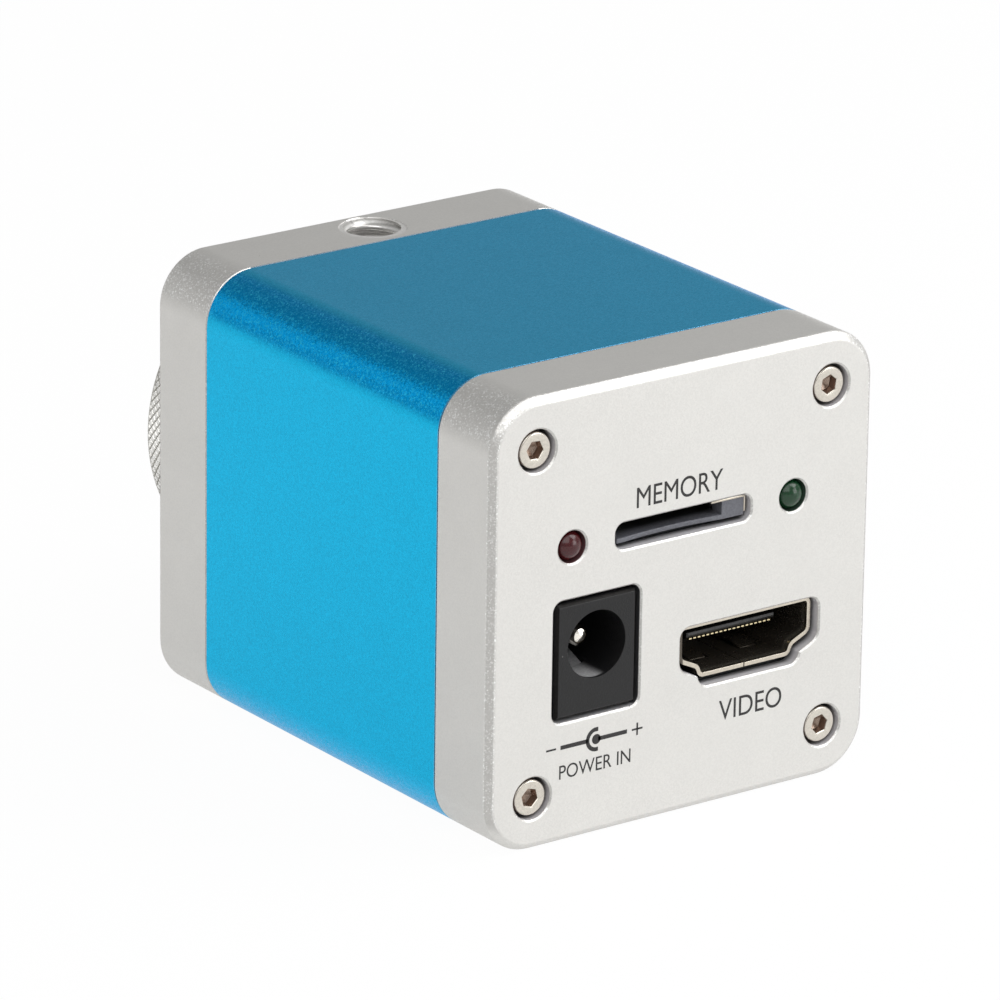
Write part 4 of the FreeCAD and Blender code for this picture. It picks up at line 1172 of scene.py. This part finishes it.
class SCOPE_OT_body(bpy.types.Operator):
    """Rounds the edges of the two end blocks and the sleeve, and finishes them"""
    bl_idname = "scope.body"
    bl_label = "Body"

    def execute(self, context):
        details = context.scene.camera_details
        low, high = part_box("body_sleeve")
        inner = high.x - RIM_WIDTH

        def at_joint(point):
            return min(abs(point.y - low.y), abs(point.y - high.y)) < WELD

        for node, name, end in (
                ("rear_block", "rear_panel_block", 0),
                ("front_block", "front_mount_block", 1)):
            face_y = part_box(node)[end].y

            def on_rim(point):
                sides = (abs(point.x), abs(point.z))
                corner = hypot(*[max(side - SCREW_PLACE, 0) for side in sides])
                return (max(sides) > inner or corner > RIM_REACH) and abs(point.y - face_y) < MM

            def on_mouth(point):
                central = end == 0 or hypot(point.x, point.z) < SCREW_PLACE
                return central and abs(point.y - face_y) < WELD * 10

            dressed(node, name, "camera", "silver_metal", "silver", (details.face_round, 3, on_rim),
                    (details.block_break, 1, at_joint), (details.edge_break, 1, on_mouth))
        dressed("body_sleeve", "blue_sleeve", "camera", "blue_metal", "blue",
                (details.joint_break, 2, at_joint))
        return {"FINISHED"}


# Lens ring and threads

def cut_thread(name, axis, spot, radius, pitch, run):
    """A helical ridge that stands inwards from a round wall, through a run along the axis.

    Its section narrows from the root to a flat crest, at 30 degrees on each side.
    """
    hold(None)
    tilt = ALONG_Y if axis == "Z" else (0, 0, 0)
    depth = pitch * THREAD_DEPTH
    root = pitch * THREAD_ROOT
    crest = radius - depth
    bpy.ops.mesh.primitive_plane_add(size=1, location=(radius - depth / 2, 0, 0), rotation=tilt)
    ridge = named(name)
    ridge.scale = (depth, root, 1)
    apply_place(ridge)
    choose_edges(ridge, lambda point, span: point.x < crest + WELD)
    narrow = THREAD_CREST / THREAD_ROOT
    bpy.ops.transform.resize(value=(1, narrow, narrow), center_override=(radius, 0, 0))
    edit(ridge, "FACE", "SELECT")
    bpy.ops.transform.translate(value=(THREAD_SINK, 0, 0))
    turns = run / pitch - 1
    steps = round(turns * THREAD_STEPS)
    apply_modifier(ridge, "SCREW", axis=axis, screw_offset=pitch * turns, angle=2 * pi * turns, steps=steps,
                   render_steps=steps, use_smooth_shade=False)
    edit(ridge, action="SELECT")
    bpy.ops.mesh.fill_holes(sides=4)
    outward(ridge)

    def on_crest(point):
        across = point.y if axis == "Z" else point.z
        return hypot(point.x, across) < crest + depth / 4

    break_edges(ridge, pitch * THREAD_ROUND, 3, on_crest)
    ridge.location = spot
    apply_place(ridge)
    smooth(ridge)
    return ridge


class SCOPE_OT_lens_ring(bpy.types.Operator):
    """Turns and knurls the lens ring, and cuts the lens thread in it"""
    bl_idname = "scope.lens_ring"
    bl_label = "Lens Ring"

    def execute(self, context):
        details = context.scene.camera_details
        low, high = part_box("mount_ring")
        outer = high.x
        root = outer - details.knurl_depth
        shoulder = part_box("front_block")[1].y + SEAT_GAP
        front = high.y - details.ring_band
        back = shoulder + details.ring_band
        ring = self.knurl_band(details, root, back, front)
        choose_edges(ring, lambda point, span: abs(point.y - front) < WELD and abs(span.y) < WELD)
        plain = outer - KNURL_RELIEF
        carry_loop([
            (root, front),
            (plain, front + KNURL_RELIEF),
            (plain, high.y - RING_CHAMFER),
            (outer - RING_CHAMFER, high.y),
            (THREAD_RADIUS + MOUTH_CHAMFER, high.y),
            (THREAD_RADIUS, high.y - MOUTH_CHAMFER),
            (THREAD_RADIUS, high.y - THREAD_LENGTH),
            (BAFFLE_RADIUS, high.y - THREAD_LENGTH),
            (BAFFLE_RADIUS, low.y),
            (SPIGOT_RADIUS - MOUTH_CHAMFER, low.y),
            (SPIGOT_RADIUS, low.y + MOUTH_CHAMFER),
            (SPIGOT_RADIUS, shoulder),
            (plain - MOUTH_CHAMFER, shoulder),
            (plain, shoulder + MOUTH_CHAMFER),
            (plain, back - KNURL_RELIEF),
            (root, back),
        ], (0, 0, 0))
        outward(ring)
        bpy.ops.object.shade_smooth_by_angle(angle=KNURL_SHARP)
        settle(ring, "ring", "ring_metal", "ring", "mount_ring")
        start = (0, high.y - THREAD_LENGTH + details.lens_pitch / 2, 0)
        thread = cut_thread("lens_thread", "Y", start, THREAD_RADIUS, details.lens_pitch,
                            THREAD_LENGTH - MOUTH_CHAMFER)
        settle(thread, "ring", "ring_metal", "ring")
        return {"FINISHED"}

    def knurl_band(self, details, root, back, front):
        """A tube of small pyramids: a grid is turned into diamonds, and each is inset and raised."""
        around = round(2 * pi * root / details.knurl_pitch)
        rows = round((front - back) / details.knurl_rise)
        step = (front - back) / rows
        half_way = (front + back) / 2
        hold(None)
        bpy.ops.mesh.primitive_cylinder_add(
            vertices=around, radius=root, depth=front - back, end_fill_type="NOTHING",
            location=(0, half_way, 0), rotation=ALONG_Y)
        ring = named("knurled_ring")
        apply_place(ring)
        choose_edges(ring, lambda point, span: abs(point.y - half_way) < WELD)
        bpy.ops.mesh.subdivide(number_cuts=rows - 1)
        edit(ring, "FACE", "SELECT")
        bpy.ops.mesh.poke()

        def on_grid(point, span):
            inside = back + WELD < point.y < front - WELD
            return inside and (abs(span.y) < step * 0.1 or abs(span.y) > step * 0.9)

        choose_edges(ring, on_grid)
        bpy.ops.mesh.dissolve_edges(use_verts=False)
        edit(ring, "FACE", "SELECT")
        bpy.ops.mesh.inset(thickness=details.knurl_flank, depth=details.knurl_depth, use_individual=True)
        return ring


class SCOPE_OT_tripod_thread(bpy.types.Operator):
    """Cuts the tripod thread in the front block's top"""
    bl_idname = "scope.tripod_thread"
    bl_label = "Tripod Thread"

    def execute(self, context):
        details = context.scene.camera_details
        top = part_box("front_block")[1].z
        centre_y = middle("front_block").y
        # The thread runs past the bore's mouth, and is cut off there
        run = TRIPOD_START + details.tripod_pitch * 1.5
        thread = cut_thread("tripod_thread", "Z", (0, centre_y, top - TRIPOD_START), TRIPOD_RADIUS,
                            details.tripod_pitch, run)
        hold(None)
        bpy.ops.mesh.primitive_cube_add(
            size=TRIPOD_DEPTH * 2, location=(0, centre_y, top - TRIPOD_CHAMFER + TRIPOD_DEPTH))
        cutter = named("mouth_cutter")
        apply_modifier(thread, "BOOLEAN", operation="DIFFERENCE", solver="EXACT", object=cutter)
        discard(cutter)
        outward(thread)
        smooth(thread)
        settle(thread, "camera", "silver_metal", "thread")
        return {"FINISHED"}


# Screws

class SCOPE_OT_screws(bpy.types.Operator):
    """Makes the socket head screws of both end blocks"""
    bl_idname = "scope.screws"
    bl_label = "Screws"

    def execute(self, context):
        model = self.model_screw()
        self.set_four(model, "rear_cap_screws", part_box("rear_screws")[0].y, 0.0, "rear_screws")
        self.set_four(model, "front_cap_screws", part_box("front_screws")[1].y, pi, "front_screws")
        discard(model)
        return {"FINISHED"}

    def model_screw(self):
        """One screw with its head's top at the origin, looking along -Y."""
        hold(None)
        bpy.ops.mesh.primitive_cylinder_add(
            vertices=ROUND_STEPS, radius=HEAD_RADIUS, depth=HEAD_HEIGHT, location=(0, HEAD_HEIGHT / 2, 0),
            rotation=ALONG_Y)
        screw = named("model_screw")
        apply_place(screw)
        choose_faces(screw, lambda normal: normal.y > 0.9)
        bpy.ops.mesh.inset(thickness=HEAD_RADIUS - SHANK_RADIUS, depth=0)
        extrude(0, SHANK_LENGTH, 0)
        choose_faces(screw, lambda normal: normal.y < -0.9)
        bpy.ops.mesh.inset(thickness=HEAD_RADIUS - SOCKET_MOUTH, depth=0)
        bpy.ops.mesh.delete(type="ONLY_FACE")
        bpy.ops.mesh.select_mode(type="EDGE")
        corner = HEX_WIDTH / 2 / cos(pi / 6)
        bpy.ops.mesh.primitive_circle_add(
            vertices=6, radius=corner, location=(0, SOCKET_DISH, 0), rotation=ALONG_Y)
        bpy.ops.mesh.subdivide(number_cuts=ROUND_STEPS // 6 - 1)
        bpy.ops.mesh.select_non_manifold()
        bpy.ops.mesh.bridge_edge_loops()

        def on_hexagon(point, span):
            return hypot(point.x, point.z) < corner + WELD and abs(point.y - SOCKET_DISH) < WELD

        choose_edges(screw, on_hexagon)
        extrude(0, HEX_DEPTH - SOCKET_DISH, 0)
        extrude(0, DRILL_POINT, 0)
        bpy.ops.mesh.merge(type="COLLAPSE")
        outward(screw)
        break_edges(screw, HEAD_ROUND, 3,
                    lambda point: point.y < WELD and hypot(point.x, point.z) > SOCKET_MOUTH)
        break_edges(screw, HEAD_ROUND / 4, 1, lambda point: abs(point.y - SOCKET_DISH) < WELD)
        break_edges(screw, HEAD_ROUND, 1, lambda point: point.y > HEAD_HEIGHT + WELD)
        smooth(screw)
        return screw

    def set_four(self, model, name, station, facing, node):
        """Copies the screw to the four corners, each turned as it was left."""
        pieces = []
        corners = [(side, rise) for side in (-1, 1) for rise in (-1, 1)]
        for (side, rise), turn in zip(corners, SCREW_TURNS):
            spot = Matrix.Translation((side * SCREW_PLACE, station, rise * SCREW_PLACE))
            turned = Matrix.Rotation(facing, 4, "Z") @ Matrix.Rotation(turn, 4, "Y")
            pieces.append(copied(model, name, spot @ turned))
        settle(joined(pieces, name), "camera", "nickel", "screw", node)


# Indicator lamps

class SCOPE_OT_lamps(bpy.types.Operator):
    """Moulds the two indicator lamps"""
    bl_idname = "scope.lamps"
    bl_label = "Indicator Lamps"

    def execute(self, context):
        for tint in ("red", "green"):
            node = tint + "_led"
            low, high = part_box(node)
            centre = middle(node)
            radius = (high.x - low.x) / 2
            dome = low.y + radius
            hold(None)
            bpy.ops.mesh.primitive_circle_add(
                vertices=ROUND_STEPS, radius=radius, fill_type="NGON",
                location=(centre.x, high.y, centre.z), rotation=ALONG_Y)
            lamp = named(tint + "_lamp")
            apply_place(lamp)
            edit(lamp, "EDGE", "SELECT")
            turns = [pi / 2 * step / DOME_STEPS for step in range(DOME_STEPS)]
            arc = [(radius * cos(turn), dome - radius * sin(turn)) for turn in turns]
            carry_loop([(radius, high.y)] + arc, centre)
            extrude(0, low.y - arc[-1][1], 0)
            bpy.ops.mesh.merge(type="COLLAPSE")
            outward(lamp)
            break_edges(lamp, radius / 12, 2)
            bpy.ops.object.shade_smooth_by_angle(angle=SHARP)
            settle(lamp, "camera", tint + "_lens", tint, node)
        return {"FINISHED"}


# Sockets

class SCOPE_OT_power_jack(bpy.types.Operator):
    """Rounds the power jack's moulded edges and its spring, and chamfers its pin"""
    bl_idname = "scope.power_jack"
    bl_label = "Power Jack"

    def execute(self, context):
        details = context.scene.camera_details
        face_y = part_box("dc_jack_housing")[0].y
        nose_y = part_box("dc_jack_pin")[0].y
        dressed("dc_jack_housing", "jack_housing", "camera", "black_plastic", "jack",
                (details.jack_round, 2, lambda point: point.y < face_y + MM))
        dressed("dc_jack_pin", "jack_pin", "camera", "plated_pin", "pin",
                (details.pin_chamfer, 1, lambda point: point.y < nose_y + WELD))
        dressed("dc_jack_spring", "jack_spring", "camera", "spring_steel", "contact",
                (details.sheet_round, 1))
        return {"FINISHED"}


class SCOPE_OT_video_socket(bpy.types.Operator):
    """Rounds the video socket's folded shell, its tongue and its contacts"""
    bl_idname = "scope.video_socket"
    bl_label = "Video Socket"

    def execute(self, context):
        details = context.scene.camera_details
        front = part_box("video_socket_shell")[0].y
        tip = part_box("video_socket_tongue")[0].y
        dressed("video_socket_shell", "video_shell", "camera", "plated_shell", "shell",
                (details.sheet_round, 2, lambda point: point.y < front + WELD),
                (details.sheet_round, 2, lambda point: point.y > front + MM))
        dressed("video_socket_tongue", "video_tongue", "camera", "black_plastic", "black",
                (details.edge_break * 2, 2, lambda point: point.y < tip + MM / 2))
        dressed("video_socket_contacts", "video_contacts", "camera", "gold", "gold",
                (details.sheet_round / 3, 1))
        return {"FINISHED"}


class SCOPE_OT_card_socket(bpy.types.Operator):
    """Rounds the card socket's tray, its folded cover and its slider, and finishes its spring"""
    bl_idname = "scope.card_socket"
    bl_label = "Card Socket"

    def execute(self, context):
        details = context.scene.camera_details
        for node, name, body, slot, look in (
                ("card_socket_base", "card_tray", "camera", "grey_plastic", "grey"),
                ("card_socket_cover", "card_cover", "camera", "plated_shell", "plated"),
                ("card_slider", "card_push_slider", "slider", "grey_plastic", "grey")):
            dressed(node, name, body, slot, look, (details.sheet_round, 2))
        spring = dressed("card_spring", "card_return_spring", "camera", "spring_steel", "spring")
        low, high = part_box("card_spring")
        rest = middle("card_spring")
        rest.y = high.y
        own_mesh(spring)
        return {"FINISHED"}


# Markings

class SCOPE_OT_markings(bpy.types.Operator):
    """Prints plain markings beside the sockets"""
    bl_idname = "scope.markings"
    bl_label = "Markings"

    def execute(self, context):
        details = context.scene.camera_details
        face_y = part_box("rear_block")[0].y
        for text, name, (x, z), height, width in MARKINGS:
            self.print_word(text, name, (x, face_y, z), getattr(details, height), width,
                            details.ink_thickness)
        self.print_polarity(face_y, details.ink_thickness)
        return {"FINISHED"}

    def print_word(self, text, name, spot, height, width, thickness):
        hold(None)
        bpy.ops.object.text_add(location=spot, rotation=ALONG_Y)
        word = named(name)
        word.data.body = text
        word.data.align_x = "CENTER"
        word.data.size = height / CAPITAL_SHARE
        word.data.extrude = thickness
        bpy.ops.object.convert(target="MESH")
        word = named(name)
        word.scale.x = width / word.dimensions.x
        apply_place(word)
        outward(word)
        settle(word, "camera", "black_plastic", "ink")

    def print_polarity(self, face_y, thickness):
        """Centre contact positive: a bar to an open ring, a dot with a bar, and the two signs."""
        x, z = POLARITY_PLACE
        centre = (x, face_y, z)
        pieces = []
        for start, stop, stroke_share, standing in POLARITY_BARS:
            hold(None)
            bpy.ops.mesh.primitive_plane_add(
                size=1, location=(x + (start + stop) / 2, face_y, z), rotation=ALONG_Y)
            bar = named("polarity_bar")
            sides = (stop - start, POLARITY_STROKE * stroke_share)
            bar.scale = (*(reversed(sides) if standing else sides), 1)
            apply_place(bar)
            pieces.append(bar)
        hold(None)
        bpy.ops.mesh.primitive_circle_add(
            vertices=40, radius=POLARITY_DOT, fill_type="NGON", location=centre, rotation=ALONG_Y)
        dot = named("polarity_dot")
        apply_place(dot)
        pieces.append(dot)
        hold(None)
        bpy.ops.mesh.primitive_plane_add(
            size=POLARITY_STROKE, location=(x, face_y, z + POLARITY_RING), rotation=ALONG_Y)
        arc = named("polarity_arc")
        apply_place(arc)
        choose_edges(arc, lambda point, span: point.x < x - POLARITY_STROKE / 4)
        bpy.ops.mesh.spin(steps=24, angle=pi, center=centre, axis=(0, 1, 0))
        pieces.append(arc)
        sign = joined(pieces, "polarity_marking")
        edit(sign, action="SELECT")
        extrude(0, -thickness, 0)
        outward(sign)
        settle(sign, "camera", "black_plastic", "ink")


# Inner parts

class SCOPE_OT_inner_parts(bpy.types.Operator):
    """Finishes the parts that keep their packed form"""
    bl_idname = "scope.inner_parts"
    bl_label = "Inner Parts"

    def execute(self, context):
        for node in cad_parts.values():
            for slot in node.material_slots:
                slot.material = finish(SLOT_FINISH[slot.material.name.split(".")[0]])
        return {"FINISHED"}


# Stage

class SCOPE_OT_stage(bpy.types.Operator):
    """Sets up the floor, the room, the softboxes and the view"""
    bl_idname = "scope.stage"
    bl_label = "Stage"

    def execute(self, context):
        stage = context.scene.camera_stage
        self.lay_floor(stage)
        self.light_room(context.scene, stage)
        centre = (CAD_BOX[0] + CAD_BOX[1]) / 2
        for name, direction, distance, side, watts in SOFTBOXES:
            way = Vector(direction).normalized()
            self.hang_softbox(name, centre, way, distance, side, getattr(stage, watts))
        self.set_view(context.scene, stage)
        return {"FINISHED"}

    def lay_floor(self, stage):
        """Plain white to the view and in reflections, by its shares, and matt for the light."""
        hold(None)
        bpy.ops.mesh.primitive_plane_add(size=stage.floor_size, location=(0, 0, CAD_BOX[0].z))
        floor = named("floor")
        made, tree, shader = new_finish("pale_floor")
        tree.nodes.remove(shader)
        rays = add(tree, "ShaderNodeLightPath").outputs
        seen = sums(tree, "MAXIMUM", rays["Is Camera Ray"], rays["Is Transmission Ray"])
        white = sums(tree, "MAXIMUM", times(tree, seen, stage.floor_white),
                     times(tree, rays["Is Glossy Ray"], stage.floor_gloss))
        matt = add(tree, "ShaderNodeBsdfDiffuse")
        matt.inputs["Color"].default_value = FLOOR_TINT
        plain = add(tree, "ShaderNodeEmission")
        both = add(tree, "ShaderNodeMixShader")
        for source, target in zip((white, matt.outputs[0], plain.outputs[0]), both.inputs):
            wire(tree, source, target)
        wire(tree, both.outputs[0], tree.nodes["Material Output"].inputs["Surface"])
        floor.data.materials.append(made)

    def light_room(self, scene, stage):
        """Pale at the horizon, and dimmer in two steps above."""
        world = bpy.data.worlds.new("room")
        world.use_nodes = True
        tree = world.node_tree
        height = axes(tree, add(tree, "ShaderNodeTexCoord").outputs["Generated"])["Z"]
        low = spread(tree, height, *HORIZON_RANGE, stage.horizon, stage.low_room, True)
        level = spread(tree, height, *HIGH_RANGE, low, stage.high_room, True)
        background = tree.nodes["Background"]
        background.inputs["Color"].default_value = (1.0, 1.0, 1.0, 1.0)
        wire(tree, level, background.inputs["Strength"])
        scene.world = world

    def hang_softbox(self, name, centre, direction, distance, side, watts):
        lamp = bpy.data.lights.new(name, "AREA")
        lamp.shape = "SQUARE"
        lamp.size = side
        lamp.energy = watts
        box = bpy.data.objects.new(name, lamp)
        bpy.context.scene.collection.objects.link(box)
        box.location = centre + direction * distance
        box.rotation_euler = direction.to_track_quat("Z", "Y").to_euler()

    def set_view(self, scene, stage):
        view = bpy.data.cameras.new("view")
        view.sensor_width = 36.0
        view.lens = stage.lens
        view.clip_start = 0.01
        view.clip_end = 20.0
        viewer = bpy.data.objects.new("view", view)
        scene.collection.objects.link(viewer)
        level = cos(stage.elevation)
        back = Vector((sin(stage.azimuth) * level, -cos(stage.azimuth) * level, sin(stage.elevation)))
        turn = (-back).to_track_quat("-Z", "Y").to_matrix().to_4x4() @ Matrix.Rotation(stage.roll, 4, "Z")
        viewer.matrix_world = Matrix.Translation(Vector(stage.aim) + back * stage.distance) @ turn
        scene.camera = viewer
        scene.view_settings.view_transform = "Standard"


# Panel and registration

SETTINGS = {"camera_colours": CameraColours, "camera_details": CameraDetails, "camera_stage": CameraStage}
OPERATORS = (
    SCOPE_OT_body, SCOPE_OT_lens_ring, SCOPE_OT_tripod_thread, SCOPE_OT_screws, SCOPE_OT_lamps,
    SCOPE_OT_power_jack, SCOPE_OT_video_socket, SCOPE_OT_card_socket, SCOPE_OT_markings,
    SCOPE_OT_inner_parts, SCOPE_OT_stage,
)


class SCOPE_PT_finish(bpy.types.Panel):
    """Lists the settings and the pieces in the 3D view's sidebar"""
    bl_label = "Camera Finish"
    bl_idname = "SCOPE_PT_finish"
    bl_space_type = "VIEW_3D"
    bl_region_type = "UI"
    bl_category = "Camera Finish"

    def draw(self, context):
        for name, group in SETTINGS.items():
            column = self.layout.column()
            for setting in group.__annotations__:
                column.prop(getattr(context.scene, name), setting)
        for made in OPERATORS:
            self.layout.operator(made.bl_idname)


CLASSES = (*SETTINGS.values(), *OPERATORS, SCOPE_PT_finish)


def register():
    for made in CLASSES:
        bpy.utils.register_class(made)
    for name, group in SETTINGS.items():
        setattr(bpy.types.Scene, name, bpy.props.PointerProperty(type=group))


def unregister():
    for name in SETTINGS:
        delattr(bpy.types.Scene, name)
    for made in reversed(CLASSES):
        bpy.utils.unregister_class(made)


def main():
    register()
    bpy.ops.scope.body()
    bpy.ops.scope.lens_ring()
    bpy.ops.scope.tripod_thread()
    bpy.ops.scope.screws()
    bpy.ops.scope.lamps()
    bpy.ops.scope.power_jack()
    bpy.ops.scope.video_socket()
    bpy.ops.scope.card_socket()
    bpy.ops.scope.markings()
    bpy.ops.scope.inner_parts()
    bpy.ops.scope.stage()


if __name__ == "__main__":
    main()
